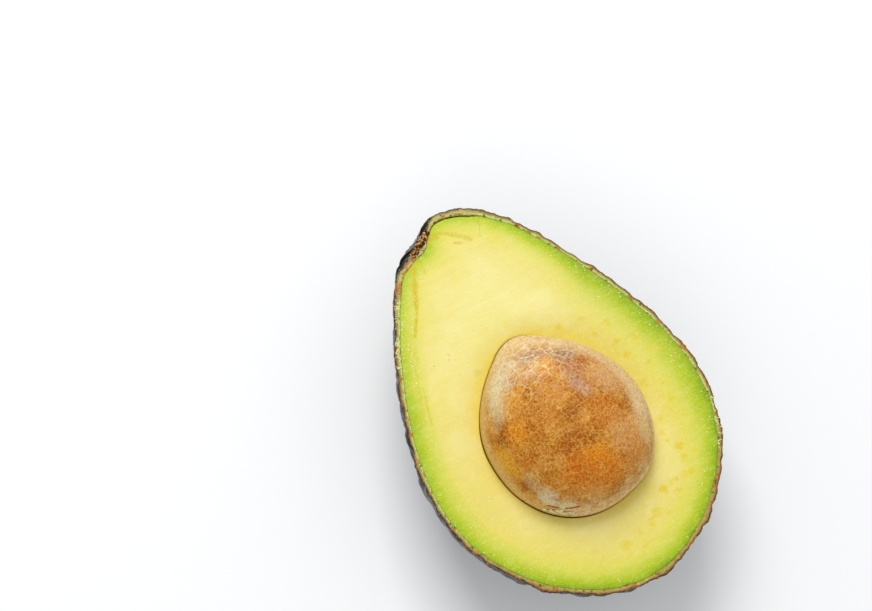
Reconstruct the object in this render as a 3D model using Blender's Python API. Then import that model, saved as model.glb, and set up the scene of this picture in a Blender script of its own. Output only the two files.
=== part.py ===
"""A ripe avocado, cut in half lengthwise and lying on its back, with its stone still in its hollow.

Units are metres and +Z is up. The origin is below the middle of the fruit, on the surface that it lies on.
+Y runs along the fruit, from its round base to its stem, and the cut face looks straight up.

Every rounded body starts as a sphere of evenly sized squares. A point of that sphere holds its place
along the fruit in Y, and its place across it in X and Z, so a few formulas turn it into the fruit's egg shape.
"""

import math

import bmesh
import bpy
from mathutils import Vector, noise

# The whole fruit
HALF_LENGTH = 0.0502
HALF_WIDTH = 0.0347
DEPTH = 0.0328
CUT_HEIGHT = 0.0325
# How the width and the depth change towards the stem: shares per power of the place along the fruit
WIDTH_TAPER = (-0.33, -0.09, 0.19)
DEPTH_TAPER = (-0.20, -0.12, 0.18)
# The middle line leans to one side towards the stem: metres per power of the place along the fruit
LEAN = (-0.0003, -0.0019, -0.0007)

# The leathery skin and its pebbles
PEEL_THICKNESS = 0.0013
PEBBLE_HEIGHT = 0.0011
PEBBLE_LENGTH = 0.0085
PEBBLE_WIDTH = 0.0058
# A pebble's side ends at this share of its size from the crease, and its top is flat
PEBBLE_SIDE = 0.6
# The skin also swells gently, over several pebbles: size in pebbles, and height as a share of a pebble's
SWELL_SIZE = 2.0
SWELL_SHARE = 0.35
SMOOTH_NEAR_STEM = 0.011

# The dimple that held the stem, in the cut plane, and the cork left in it
STEM_SIDE = -0.30
DIMPLE_DEPTH = 0.0024
DIMPLE_RADIUS = 0.0043
CORK_RADIUS = 0.0038
CORK_ROOT = 0.0018
CORK_PROUD = 0.0004
CORK_ROUNDING = 0.0005
# The hole for the cork is cut from this far outside the skin
SEAT_REACH = 0.004

# The stone, an egg with its broad end towards the base, half sunk in the flesh
STONE_HALF_LENGTH = 0.0228
STONE_HALF_WIDTH = 0.0195
STONE_RISE = 0.0172
STONE_SUNK = 0.0186
STONE_TAPER = (-0.12, -0.10, -0.17)
STONE_LEAN = -0.0010
STONE_CENTRE = Vector((0.0003, -0.0076, 0.0))
STONE_DIMPLING = 0.00025
STONE_DIMPLE_SIZE = 0.009

# The flesh dips a little round the stone, as if pressed with a big shallow spoon: half sizes, and the
# height of the spoon's middle over the cut
SPOON = (0.033, 0.037, 0.0094)
SPOON_HEIGHT = 0.0066

# Neighbouring pieces keep this much clearance
GAP = 0.0003
# A point this near the plane of the knife is in it
ON_CUT = 1e-6

# Squares along an edge of the starting cube: even numbers put a row of points in the cut plane,
# and odd ones keep a cutter's points out of it
SKIN_SQUARES = 32
LINING_SQUARES = 13
FLESH_SQUARES = 18
STONE_SQUARES = 14
HOLLOW_SQUARES = 11
CORK_SIDES = 24

# Faces that meet at more than this angle keep a sharp edge between them
SHARP_EDGE = math.radians(50.0)

# Colour as sRGB hex, roughness
SKIN_LOOK = ("2A2622", 0.42)
FLESH_LOOK = ("E4DD6E", 0.38)
STONE_LOOK = ("9C5E2A", 0.50)
CORK_LOOK = ("8A6236", 0.85)


def power_sum(coefficients, place):
    """The first coefficient, plus the second times place, plus the third times place squared, and so on."""
    return sum(factor * place ** power for power, factor in enumerate(coefficients))


def egg_point(direction, inset):
    """The place on the fruit of a point of the unit sphere, moved in from the skin's mean surface by inset."""
    along = direction.y
    width = HALF_WIDTH * power_sum((1.0, *WIDTH_TAPER), along) - inset
    depth = DEPTH * power_sum((1.0, *DEPTH_TAPER), along) - inset
    return Vector((
        power_sum(LEAN, along) + direction.x * width,
        along * (HALF_LENGTH - inset),
        direction.z * depth,
    ))


def stem_direction():
    return Vector((STEM_SIDE, math.sqrt(1.0 - STEM_SIDE ** 2), 0.0))


def egg_normal(direction):
    """The outward direction of the fruit's smooth surface, from two short steps along it."""
    step = 1e-3
    side = direction.orthogonal().normalized()
    other = direction.cross(side)
    here = egg_point(direction, 0.0)
    first = egg_point((direction + side * step).normalized(), 0.0) - here
    second = egg_point((direction + other * step).normalized(), 0.0) - here
    return first.cross(second).normalized()


def pebbles(point):
    """The height of the skin's pebbles: rounded cells, longer along the fruit, with creases between them."""
    cell = Vector((point.x / PEBBLE_WIDTH, point.y / PEBBLE_LENGTH, point.z / PEBBLE_WIDTH))
    nearest, second = noise.voronoi(cell)[0][:2]
    swell = noise.noise(cell / SWELL_SIZE)
    return PEBBLE_HEIGHT * (min(second - nearest, PEBBLE_SIDE) - PEBBLE_SIDE / 2.0 + SWELL_SHARE * swell)


def skin_point(direction):
    """The bumpy outside of the skin, with the dimple at the stem and the flat spot that it rests on."""
    point = egg_point(direction, 0.0)
    stem = egg_point(stem_direction(), 0.0)
    reach = (point - stem).length
    smooth = 1.0 - math.exp(-((reach / SMOOTH_NEAR_STEM) ** 2))
    dent = DIMPLE_DEPTH * math.exp(-((reach / DIMPLE_RADIUS) ** 2))
    point += egg_normal(direction) * (pebbles(point) * smooth - dent)
    point.z = max(point.z, -CUT_HEIGHT)
    return point


def lining_point(direction, inset):
    """A smooth surface inside the skin, which follows the dimple."""
    point = egg_point(direction, inset)
    stem = egg_point(stem_direction(), inset)
    dent = DIMPLE_DEPTH * math.exp(-(((point - stem).length / DIMPLE_RADIUS) ** 2))
    return point - egg_normal(direction) * dent


def stone_point(direction, clearance):
    """The stone's surface, a little uneven, moved out by clearance."""
    along = direction.y
    taper = power_sum((1.0, *STONE_TAPER), along)
    height = STONE_RISE if direction.z > 0.0 else STONE_SUNK
    uneven = STONE_DIMPLING * noise.noise(direction * (STONE_HALF_WIDTH / STONE_DIMPLE_SIZE))
    swell = clearance + uneven
    return STONE_CENTRE + Vector((
        direction.x * (STONE_HALF_WIDTH * taper + swell) + STONE_LEAN * along,
        along * (STONE_HALF_LENGTH + swell),
        direction.z * (height * taper + swell),
    ))


def spoon_point(direction):
    """The shallow spoon that presses the flesh down round the stone."""
    return STONE_CENTRE + Vector((0.0, 0.0, SPOON_HEIGHT)) + direction * Vector(SPOON)


def new_mesh(name, bm):
    mesh = bpy.data.meshes.new(name)
    bm.to_mesh(mesh)
    bm.free()
    return mesh


def even_sphere(squares, place):
    """A closed mesh: a cube of squares blown up into a unit sphere, each point then moved by place."""
    bm = bmesh.new()
    bmesh.ops.create_cube(bm, size=2.0)
    bmesh.ops.subdivide_edges(bm, edges=bm.edges[:], cuts=squares - 1, use_grid_fill=True)
    for vert in bm.verts:
        # The tangent spaces the points evenly over the sphere
        evened = Vector([math.tan(value * math.pi / 4.0) for value in vert.co])
        vert.co = place(evened.normalized())
    return bm


def keep_below_cut(bm):
    """Cuts a closed body at the plane of the knife, z = 0 here, and closes it with a flat face."""
    for vert in bm.verts:
        if abs(vert.co.z) < ON_CUT:
            vert.co.z = 0.0
    geometry = bm.verts[:] + bm.edges[:] + bm.faces[:]
    bmesh.ops.bisect_plane(
        bm, geom=geometry, dist=ON_CUT, plane_co=(0.0, 0.0, 0.0), plane_no=(0.0, 0.0, 1.0), clear_outer=True
    )
    rim = [edge for edge in bm.edges if edge.is_boundary]
    bmesh.ops.contextual_create(bm, geom=rim)


def collection(name):
    made = bpy.data.collections.new(name)
    bpy.context.scene.collection.children.link(made)
    return made


def linear(hex_colour):
    """An sRGB hex colour as linear red, green, blue and alpha."""
    channels = [int(hex_colour[start:start + 2], 16) / 255.0 for start in (0, 2, 4)]
    return (*[c / 12.92 if c <= 0.04045 else ((c + 0.055) / 1.055) ** 2.4 for c in channels], 1.0)


def material(name, look):
    hex_colour, roughness = look
    made = bpy.data.materials.new(name)
    made.use_nodes = True
    shader = made.node_tree.nodes["Principled BSDF"]
    shader.inputs["Base Color"].default_value = linear(hex_colour)
    shader.inputs["Roughness"].default_value = roughness
    shader.inputs["Metallic"].default_value = 0.0
    return made


def piece(name, bm, parts, look):
    """A named sub-part, shaded smooth but for the edges of the cut."""
    mesh = new_mesh(name, bm)
    mesh.shade_smooth()
    mesh.set_sharp_from_angle(angle=SHARP_EDGE)
    mesh.materials.append(material(name, look))
    made = bpy.data.objects.new(name, mesh)
    made.location.z = CUT_HEIGHT
    parts.objects.link(made)
    return made


def cutter(name, bm, cutters):
    made = bpy.data.objects.new(name, new_mesh(name, bm))
    made.location.z = CUT_HEIGHT
    made.hide_render = True
    made.display_type = "WIRE"
    cutters.objects.link(made)
    return made


def cut(target, tool):
    boolean = target.modifiers.new(tool.name, "BOOLEAN")
    boolean.operation = "DIFFERENCE"
    boolean.solver = "EXACT"
    boolean.object = tool


def cork_disc(radius, root, proud, rounding):
    """A round disc in the dimple, from root below the dimple's bottom to proud above it."""
    direction = stem_direction()
    outward = egg_normal(direction)
    turn = outward.to_track_quat("Z", "X").to_matrix()
    centre = egg_point(direction, 0.0) + outward * ((proud - root) / 2.0 - DIMPLE_DEPTH)
    bm = bmesh.new()
    bmesh.ops.create_cone(
        bm, cap_ends=True, segments=CORK_SIDES, radius1=radius, radius2=radius, depth=root + proud
    )
    if rounding:
        rims = [edge for edge in bm.edges if edge.verts[0].co.z * edge.verts[1].co.z > 0.0]
        bmesh.ops.bevel(bm, geom=rims, offset=rounding, segments=2, profile=0.5, affect="EDGES")
    for vert in bm.verts:
        vert.co = centre + turn @ vert.co
    return bm


def make_peel(parts):
    bm = even_sphere(SKIN_SQUARES, skin_point)
    keep_below_cut(bm)
    return piece("peel", bm, parts, SKIN_LOOK)


def make_flesh(parts):
    bm = even_sphere(FLESH_SQUARES, lambda d: lining_point(d, PEEL_THICKNESS + GAP))
    keep_below_cut(bm)
    return piece("flesh", bm, parts, FLESH_LOOK)


def make_stone(parts):
    bm = even_sphere(STONE_SQUARES, lambda d: stone_point(d, 0.0))
    return piece("stone", bm, parts, STONE_LOOK)


def make_stem_scar(parts):
    bm = cork_disc(CORK_RADIUS, CORK_ROOT, CORK_PROUD, CORK_ROUNDING)
    keep_below_cut(bm)
    return piece("stem_scar", bm, parts, CORK_LOOK)


def main():
    for old in list(bpy.data.objects):
        bpy.data.objects.remove(old, do_unlink=True)
    parts = collection("avocado_half")
    cutters = collection("cutters")

    peel = make_peel(parts)
    flesh = make_flesh(parts)
    make_stone(parts)
    make_stem_scar(parts)

    lining = even_sphere(LINING_SQUARES, lambda d: lining_point(d, PEEL_THICKNESS))
    cut(peel, cutter("lining_cutter", lining, cutters))
    hollow = even_sphere(HOLLOW_SQUARES, lambda d: stone_point(d, GAP))
    cut(flesh, cutter("stone_cutter", hollow, cutters))
    cut(flesh, cutter("spoon_cutter", even_sphere(HOLLOW_SQUARES, spoon_point), cutters))
    seat = cutter("cork_cutter", cork_disc(CORK_RADIUS + GAP, CORK_ROOT + GAP, SEAT_REACH, 0.0), cutters)
    cut(peel, seat)
    cut(flesh, seat)


main()
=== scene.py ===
"""The looks of a ripe avocado, cut in half lengthwise and lying on its back, with its stone in its hollow.

Laid out as a Blender add-on and run as a script. Units are metres and +Z is up. +Y runs along the fruit, from
its round base to its stem, and the cut face looks straight up. Shapes are worked out round the plane of the
knife, as z = 0, and the finished meshes are raised to where the fruit's solids have that plane.
"""

import math
from functools import partial

import bmesh
import bpy
import numpy as np
from bpy.props import FloatProperty, FloatVectorProperty, IntProperty, PointerProperty
from mathutils import Matrix, Vector, noise


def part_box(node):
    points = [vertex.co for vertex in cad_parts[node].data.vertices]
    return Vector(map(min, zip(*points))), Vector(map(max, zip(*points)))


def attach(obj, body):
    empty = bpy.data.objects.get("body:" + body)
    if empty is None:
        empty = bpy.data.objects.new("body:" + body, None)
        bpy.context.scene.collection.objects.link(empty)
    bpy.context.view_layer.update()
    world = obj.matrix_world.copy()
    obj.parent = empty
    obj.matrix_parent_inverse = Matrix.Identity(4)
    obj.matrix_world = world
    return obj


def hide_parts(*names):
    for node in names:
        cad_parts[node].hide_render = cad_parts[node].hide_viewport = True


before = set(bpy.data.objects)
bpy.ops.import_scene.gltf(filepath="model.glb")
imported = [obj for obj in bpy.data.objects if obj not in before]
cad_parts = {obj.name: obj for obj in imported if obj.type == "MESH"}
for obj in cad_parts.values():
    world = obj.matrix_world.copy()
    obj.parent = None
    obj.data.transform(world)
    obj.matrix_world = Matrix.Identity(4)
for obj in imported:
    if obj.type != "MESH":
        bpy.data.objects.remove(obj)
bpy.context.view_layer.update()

bl_info = {
    "name": "Avocado Half",
    "version": (1, 0, 0),
    "blender": (4, 5, 0),
    "location": "3D View > Sidebar > Avocado",
    "description": "Builds a halved avocado with its peel, flesh, stone and cork, on a pale floor",
    "category": "Add Mesh",
}

# The plane of the knife, over the surface that the fruit lies on
CUT_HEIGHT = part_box("flesh")[1].z
RAISED = Vector((0.0, 0.0, CUT_HEIGHT))

# The fruit's form, with the same values as its solids: half sizes, and how they change towards the stem
HALF_LENGTH = 0.0502
HALF_WIDTH = 0.0347
DEPTH = 0.0328
WIDTH_TAPER = (-0.33, -0.09, 0.19)
DEPTH_TAPER = (-0.20, -0.12, 0.18)
LEAN = (-0.0003, -0.0019, -0.0007)

# The peel and its pebbles
PEEL_THICKNESS = 0.0013
PEBBLE_HEIGHT = 0.0011
PEBBLE_LENGTH = 0.0085
PEBBLE_WIDTH = 0.0058
PEBBLE_SIDE = 0.6
SWELL_SIZE = 2.0
SWELL_SHARE = 0.35
SMOOTH_NEAR_STEM = 0.011

# The dimple that held the stem, in the plane of the knife, and the cork in it
STEM_SIDE = -0.30
DIMPLE_DEPTH = 0.0024
DIMPLE_RADIUS = 0.0043
CORK_RADIUS = 0.0038
CORK_ROOT = 0.0018
CORK_PROUD = 0.0004

# The stone, and the shallow dip round it
STONE_HALF_LENGTH = 0.0228
STONE_HALF_WIDTH = 0.0195
STONE_RISE = 0.0172
STONE_SUNK = 0.0186
STONE_TAPER = (-0.12, -0.10, -0.17)
STONE_LEAN = -0.0010
STONE_CENTRE = Vector((0.0003, -0.0076, 0.0))
STONE_DIMPLING = 0.00025
STONE_DIMPLE_SIZE = 0.009
SPOON = Vector((0.033, 0.037, 0.0094))
SPOON_HEIGHT = 0.0066
SPOON_SOFTNESS = 0.0005

# How finely each piece is divided: squares along an edge of the starting cube, and rings of points
SKIN_SQUARES = 144
LINING_SQUARES = 24
STONE_SQUARES = 88
CORK_SQUARES = 22
RIM_POINTS = 4 * SKIN_SQUARES
FACE_RINGS = 84
HOLLOW_RINGS = 12
OUTSIDE_RINGS = 14
# Rises at which hidden walls begin under the cut, in radians: the peel's inside, its lining, the hollow, the
# outside of the flesh
WALL_RISE = -0.025
LINING_RISE = -0.045
HOLLOW_RISE = -0.12
OUTSIDE_RISE = -0.03
# On the skin the value of across_edge starts this far below 0
SKIN_ACROSS = 0.25

# The cut edge of the peel, from the skin to the flesh: share of its width, height over the knife's plane
PEEL_EDGE = (
    (0.0, -0.00020), (0.1, -0.00004), (0.28, 0.00005), (0.5, 0.00008), (0.72, 0.00005), (0.9, -0.00001),
    (1.0, -0.00007),
)
PEEL_EDGE_ROUGHNESS = 0.00014
PEEL_EDGE_GRAIN = 0.0011
PEEL_WAVE = 0.16
PEEL_WAVE_COUNT = 9.0
STEM_THICKENING = 0.0005
SEAM = 0.00003
# Beside the cork the skin rolls over into the cut, over this share of the peel's edge and this far down
SKIN_ROLL = (90.0, 100.0, 117.0, 127.0)
SKIN_ROLL_SHARE = 0.5
SKIN_ROLL_DROP = 0.0011
SKIN_ROLL_THICKENING = 0.0008
NICK_REACH = 0.0007

# Stretches of the rim, as turns in degrees from +X: where they start, are full, are full still and end
LEFT_RIM = (108.0, 125.0, 168.0, 190.0)
RIGHT_TORN = (-38.0, -33.0, -24.0, -18.0)
LEFT_TORN = (126.0, 132.0, 148.0, 154.0)
STEM_END = (52.0, 85.0, 128.0, 150.0)
FURROW = (62.0, 76.0, 92.0, 99.0)
PALE_END = (40.0, 80.0, 120.0, 175.0)
OPENED_RIGHT = (-38.0, -24.0, 60.0, 80.0)
OPENED_LEFT = (126.0, 138.0, 185.0, 225.0)

# The facet that the knife left along the left rim, and the furrow between peel and flesh beside the stem
FACET_WIDTH = 0.0056
FACET_SLOPE = 0.10
FACET_SOFTNESS = 0.0006
FACET_FADE = 0.004
FURROW_DEPTH = 0.0006
FURROW_WIDTH = 0.00028

# Unevenness of the cut face: the knife ran across the fruit, along X
WAVE_HEIGHT = 0.00022
WAVE_SIZE = 0.014
KNIFE_HEIGHT = 0.00005
KNIFE_LENGTH = 0.016
KNIFE_SPACING = 0.0016
# The hollow's edge, how closely it holds the stone, and how the flesh bends down at the peel
HOLLOW_ROUNDING = 0.0004
HOLLOW_CLEARANCE = 0.00005
HOLLOW_GAP = 0.00016
HOLLOW_GAP_SIDE = (140.0, 175.0, 245.0, 275.0)
HOLLOW_GAP_TOP = (30.0, 55.0, 105.0, 130.0)
HOLLOW_GAP_TOP_SHARE = 0.6
PEEL_ROLL = 0.00010
PEEL_ROLL_REACH = 0.0009

# Strands of the stem that the knife laid open in the flesh: points on the cut, half width and strength
STRANDS = (
    (((-0.0123, 0.0424), (-0.0148, 0.0372), (-0.0172, 0.0317), (-0.0207, 0.0262)), 0.00060, 0.95),
    (((-0.0123, 0.0424), (-0.0148, 0.0372), (-0.0168, 0.0330)), 0.00140, 0.45),
    (((-0.0207, 0.0262), (-0.0236, 0.0205), (-0.0262, 0.0140), (-0.0287, 0.0067)), 0.00080, 0.25),
    (((-0.0249, 0.0146), (-0.0262, 0.0100), (-0.0273, 0.0059)), 0.00040, 0.45),
    (((-0.0083, 0.0452), (-0.0058, 0.0459), (-0.0034, 0.0455), (-0.0010, 0.0440)), 0.00062, 0.80),
    (((-0.0010, 0.0440), (0.0023, 0.0410)), 0.00090, 0.60),
    (((-0.0080, 0.0446), (-0.0060, 0.0452), (-0.0046, 0.0448)), 0.00062, 0.85),
    (((-0.0016, 0.0418), (0.0000, 0.0410)), 0.00045, 0.70),
    (((-0.0108, 0.0420), (-0.0112, 0.0385)), 0.00040, 0.40),
)
# A hairline crack near the stem's end
CRACK = ((0.0070, 0.0458), (0.0058, 0.0428), (0.0047, 0.0403))
CRACK_HALF_WIDTH = 0.00018
CRACK_STRENGTH = 0.28
# Small marks in the flesh, green left of the stone and ochre right of it: place on the cut, radius, strength
GREEN_MARKS = (
    ((-0.0158, 0.0187), 0.0005, 0.40),
    ((-0.0162, 0.0176), 0.0004, 0.35),
    ((-0.0226, 0.0213), 0.0004, 0.40),
    ((-0.0202, 0.0179), 0.0004, 0.35),
    ((-0.0116, 0.0119), 0.0014, 0.22),
)
OCHRE_MARKS = (
    ((0.0097, -0.0367), 0.0019, 0.60),
    ((0.0074, -0.0382), 0.0014, 0.55),
    ((-0.0006, -0.0399), 0.0018, 0.55),
    ((0.0039, -0.0390), 0.0010, 0.45),
    ((0.0162, -0.0321), 0.0012, 0.50),
    ((0.0199, -0.0319), 0.0015, 0.45),
    ((0.0220, -0.0322), 0.0015, 0.50),
    ((0.0250, -0.0284), 0.0009, 0.60),
    ((0.0222, -0.0251), 0.0012, 0.50),
    ((0.0203, -0.0230), 0.0009, 0.60),
    ((0.0203, -0.0206), 0.0009, 0.60),
    ((0.0109, 0.0128), 0.0010, 0.70),
    ((0.0272, -0.0020), 0.0012, 0.50),
)
# Ends of veins: between these turns, and between these distances from the peel
FLECK_TURNS = (-100.0, -80.0, 10.0, 45.0)
FLECK_DEPTHS = (0.0045, 0.0070, 0.0110, 0.0150)

# The green fades out over this distance from the peel. At the stem's end, on the right and on the left it is
# wider or narrower and begins further out, on the left even further out beyond the facet
GREEN_REACH = 0.016
LEFT_SIDE = (110.0, 135.0, 215.0, 245.0)
RIGHT_SIDE = (-62.0, -12.0, 30.0, 55.0)
NARROWER_END = 0.05
WIDER_RIGHT = 0.40
WIDER_LEFT = 0.20
END_SHIFT = 0.0010
LEFT_SHIFT = 0.0006
LEFT_INNER_SHIFT = 0.0024
FACET_EDGE = 0.0006
FACET_EDGE_WIDTH = 0.0012
# The flesh turns a paler cream between these places along the fruit, growing towards the stem's end on the
# lamp's side, which is painted light, and between these distances from the peel
CREAM_PAINTED_LIGHT_FROM = -0.012
CREAM_PAINTED_LIGHT_TO = 0.026
CREAMY_DEPTH = 0.002
CREAMY_DEPTH_WIDTH = 0.012
BY_STONE_REACH = 0.09
BY_STONE_SHARE = 0.85
FURROW_ELSEWHERE = 0.20
# Beads of moisture: how thickly they lie all over, near the rims, in a damp patch and where the rim is torn
BEAD_FLOOR = 0.05
BEAD_RIM = 0.34
BEAD_RIM_REACH = 0.0045
BEAD_DAMP = 0.10
BEAD_TORN = 0.6
BEAD_TORN_REACH = 0.0015
DAMP_PATCH = (-0.0150, 0.0120)
DAMP_PATCH_RADIUS = 0.006
# None lie nearer the peel or the stone, or deeper, than this
BEAD_PEEL_GAP = 0.0003
BEAD_STONE_GAP = 1.03
BEAD_LOWEST = -0.003

# Colours of the stone by place, partly its coat's own blotches and partly painted light: the pale cream patches
# towards the stem's end, on the lamp's side, are a painted highlight, and the deeper orange-brown towards the
# base is partly painted shade. For each: x and y on it from its middle and radius in millimetres, colour,
# strength
STONE_PATCHES_AND_PAINTED_LIGHT = (
    (-10.5, 14.8, 6.75, "E2D6AC", 0.85), (-13.0, 10.8, 5.75, "DCCB9C", 0.80),
    (-6.7, 16.7, 5.5, "DDC298", 0.80), (-4.0, 13.5, 5.5, "DDB684", 0.70),
    (-1.7, 16.6, 3.375, "A88E80", 0.75), (1.3, 15.4, 3.375, "B0947E", 0.65),
    (5.4, 12.9, 4.25, "A08672", 0.75), (0.3, 11.8, 4.5, "E8A85A", 0.75),
    (-10.0, 9.2, 4.5, "D08A24", 0.85), (-16.2, 1.8, 3.5, "8C4204", 0.90),
    (-13.4, 1.4, 4.5, "D07C0A", 0.90), (-14.8, 7.1, 4, "C2A878", 0.75),
    (-0.8, -0.5, 3.25, "8E4816", 0.60), (2.0, 1.2, 2.75, "96501E", 0.45),
    (5.2, 8.4, 4.5, "AC745A", 0.75), (3.8, 5.6, 3.25, "B28A7A", 0.70),
    (6.0, -3.5, 6.25, "C47024", 0.70), (-0.6, -12.4, 5.5, "E68A00", 0.95),
    (-3.4, -6.2, 4.75, "9C4C08", 0.75), (-5.0, -13.4, 7.75, "CA6C0E", 0.90),
    (0.9, -15.8, 7.25, "CE7416", 0.90), (-15.2, -8.8, 2.75, "C4A26C", 0.55),
    (-14.6, -11.8, 2.75, "C8AE80", 0.60), (-13.2, -15.0, 3.75, "D8CCA8", 0.95),
    (-10.2, -18.4, 4.25, "DECC9E", 0.95), (8.8, -10.2, 6.5, "D89C60", 0.70),
    (11.2, 3.5, 6.5, "D4A470", 0.75), (15.0, -7.5, 5, "E2BE88", 0.80),
    (16.4, -4.0, 5.75, "E8C894", 0.90), (16.0, 2.5, 5, "E2BE8A", 0.80),
    (13.8, 7.5, 5, "DDB886", 0.75), (10.5, 12.2, 5, "DDBA88", 0.75),
    (6.0, 16.5, 5.25, "E4C696", 0.75), (0.0, 20.0, 5.5, "E8CC9C", 0.85),
    (-7.0, 19.5, 5, "E4C898", 0.80), (-2.0, 6.0, 5, "C88032", 0.60),
    (-6.0, 2.0, 5, "BE762A", 0.60), (-17.9, -3.0, 5.75, "E0A026", 0.90),
    (-15.1, -4.5, 4.75, "B8680E", 0.65), (9.1, -15.0, 6.25, "D08A40", 0.65),
    (4.6, 2.6, 2.75, "BC9480", 0.60), (14.0, -11.8, 4.75, "E2BE80", 0.90),
    (16.6, -1.0, 4.5, "DDB880", 0.80),
)
STONE_PATCH_RAGGEDNESS = 0.0026
# The coat is pale on these turns of the stone, below this rise, and below a higher one on its right
PALE_RIM = (-132.0, -112.0, 115.0, 140.0)
PALE_RIGHT = (-45.0, -20.0, 55.0, 90.0)
PALE_RIM_RISE = 0.60
PALE_RIGHT_RISE = 0.16
PALE_RIM_FADE = 0.42
# The coarse veins show round this place at the top of the stone
COARSE_VEINS = (-0.0020, 0.0180)
COARSE_VEINS_REACH = 0.0190
# Tears in the papery coat near the stone's base, from its middle: the ends of dark slits, and the bent line of
# a torn strip
COAT_SLITS = (((-0.0136, -0.0159), (-0.0119, -0.0173)), ((-0.0103, -0.0185), (-0.0077, -0.0195)))
COAT_SLIT_HALF_WIDTH = 0.00050
COAT_TEAR = ((-0.0150, -0.0156), (-0.0119, -0.0187), (-0.0084, -0.0204))
COAT_TEAR_STEPS = 72
# How wide the strip is above and below that line and how high it stands: size, even share, ragged share,
# teeth along it, and which draw of the noise
COAT_TEAR_EDGES = ((0.00075, 0.6, 0.7, 8.0, 3.1), (0.00075, 0.6, 0.7, 12.0, 6.7), (0.00016, 0.7, 0.6, 7.0, 8.4))
COAT_THICKNESS = 0.00010

# The cork's crumbs are heaped with this roughness
CORK_ROUGHNESS = 0.00045
CORK_GRAIN = 0.0009
CORK_CROWN = 0.12
CORK_SHRINKAGE = 0.7
CORK_SQUARENESS = 5.0
# Crumbs lie thickly down to this depth below the cut, and more thinly under it
CRUMB_DEPTH = 0.0012
CRUMB_SHARE_BELOW = 0.15

# Corky dots on the skin: share of the surface, size of crowded patches, and their evenness and contrast
LENTICEL_SHARE = 0.10
LENTICEL_CROWD_SIZE = 0.009
LENTICEL_CROWD = (0.5, 2.2)
LENTICEL_CROWD_LIMITS = (0.12, 2.0)
# They keep off the floor and, as a value of across_edge, off the cut edge
LENTICEL_CLEARANCE = 0.0006
LENTICEL_BELOW = -0.6
# Shreds along the torn stretches of the rim, from this share of the peel's edge inwards
SHRED_SHARE = 0.9
SHRED_FROM = 0.15
SHRED_SPACING = 0.0004
SHRED_RADII = (0.00007, 0.00022)
# Height and length of the scattered domes, as shares of their radius
LENTICEL_SHAPE = (0.5, 1.35)
SHRED_SHAPE = (1.2, 4.0)
BEAD_SHAPE = (0.8, 1.7)
CRUMB_SHAPE = (0.9, 1.3)
# Points are drawn this densely, per square metre, before those that are too near each other are dropped
SCATTER_DENSITY = 4.0e6
DOME_SEGMENTS = 7
DOME_RINGS = 4
SMALL_ONES_FAVOUR = 2.2
# What can be set on the Geometry Nodes that scatter them
SCATTER_INPUTS = (
    ("Spacing", "NodeSocketFloat"),
    ("Smallest radius", "NodeSocketFloat"),
    ("Largest radius", "NodeSocketFloat"),
    ("Height share", "NodeSocketFloat"),
    ("Length share", "NodeSocketFloat"),
    ("Seed", "NodeSocketInt"),
    ("Material", "NodeSocketMaterial"),
)

# A round patch is full inside this share of its radius, a line inside this share of its half width
PATCH_CORE = 0.25
LINE_CORE = 0.3
# Depth of the relief on the smallest things
FAINT_RELIEF = 0.00005

# The camera: where it looks and from how far, with turns from +X, also of the top of its picture
CAMERA_TARGET = Vector((-0.0127, 0.0305, CUT_HEIGHT))
CAMERA_DISTANCE = 0.5706
CAMERA_TURN = math.radians(-145.4)
CAMERA_RISE = math.radians(75.76)
PICTURE_UP = math.radians(61.27)
LENS_MM = 100.0
SENSOR_MM = 36.0
CLIP_START = 0.05

# The light: a big soft lamp up the picture, a weaker one against it, and a white room
LAMP_TARGET = Vector((0.0, 0.0, CUT_HEIGHT))
LAMP_TURN = math.radians(82.0)
LAMP_RISE = math.radians(53.0)
LAMP_DISTANCE = 0.95
LAMP_SIZE = 0.5
FILL_TURN = math.radians(230.0)
FILL_RISE = math.radians(40.0)
FILL_DISTANCE = 1.2
FILL_SIZE = 0.8
FLOOR_HALF_SIZE = 3.0

MIX = "ShaderNodeMix"
MIX_FACTOR, MIX_FIRST, MIX_SECOND, MIX_RESULT = 0, 6, 7, 2
MATH = "ShaderNodeMath"
VECTOR_MATH = "ShaderNodeVectorMath"
NOISE = "ShaderNodeTexNoise"
VORONOI = "ShaderNodeTexVoronoi"
MAP_RANGE = "ShaderNodeMapRange"
RAMP = "ShaderNodeValToRGB"
BUMP = "ShaderNodeBump"
ATTRIBUTE = "ShaderNodeAttribute"
ATTRIBUTE_VALUE = 2
OBJECT_COORDINATES = 3


def linear(colour):
    """An sRGB hex colour as linear red, green, blue and alpha. What isn't written in hex stays as it is."""
    if not isinstance(colour, str):
        return colour
    channels = [int(colour[start:start + 2], 16) / 255.0 for start in (0, 2, 4)]
    return (*[c / 12.92 if c <= 0.04045 else ((c + 0.055) / 1.055) ** 2.4 for c in channels], 1.0)


def size_property(name, description, default):
    return FloatProperty(
        name=name, description=description, default=default, min=0.0, precision=5, unit="LENGTH"
    )


def colour_property(name, description, hex_colour):
    return FloatVectorProperty(
        name=name, description=description, default=linear(hex_colour), size=4, min=0.0, max=1.0,
        subtype="COLOR",
    )


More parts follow.
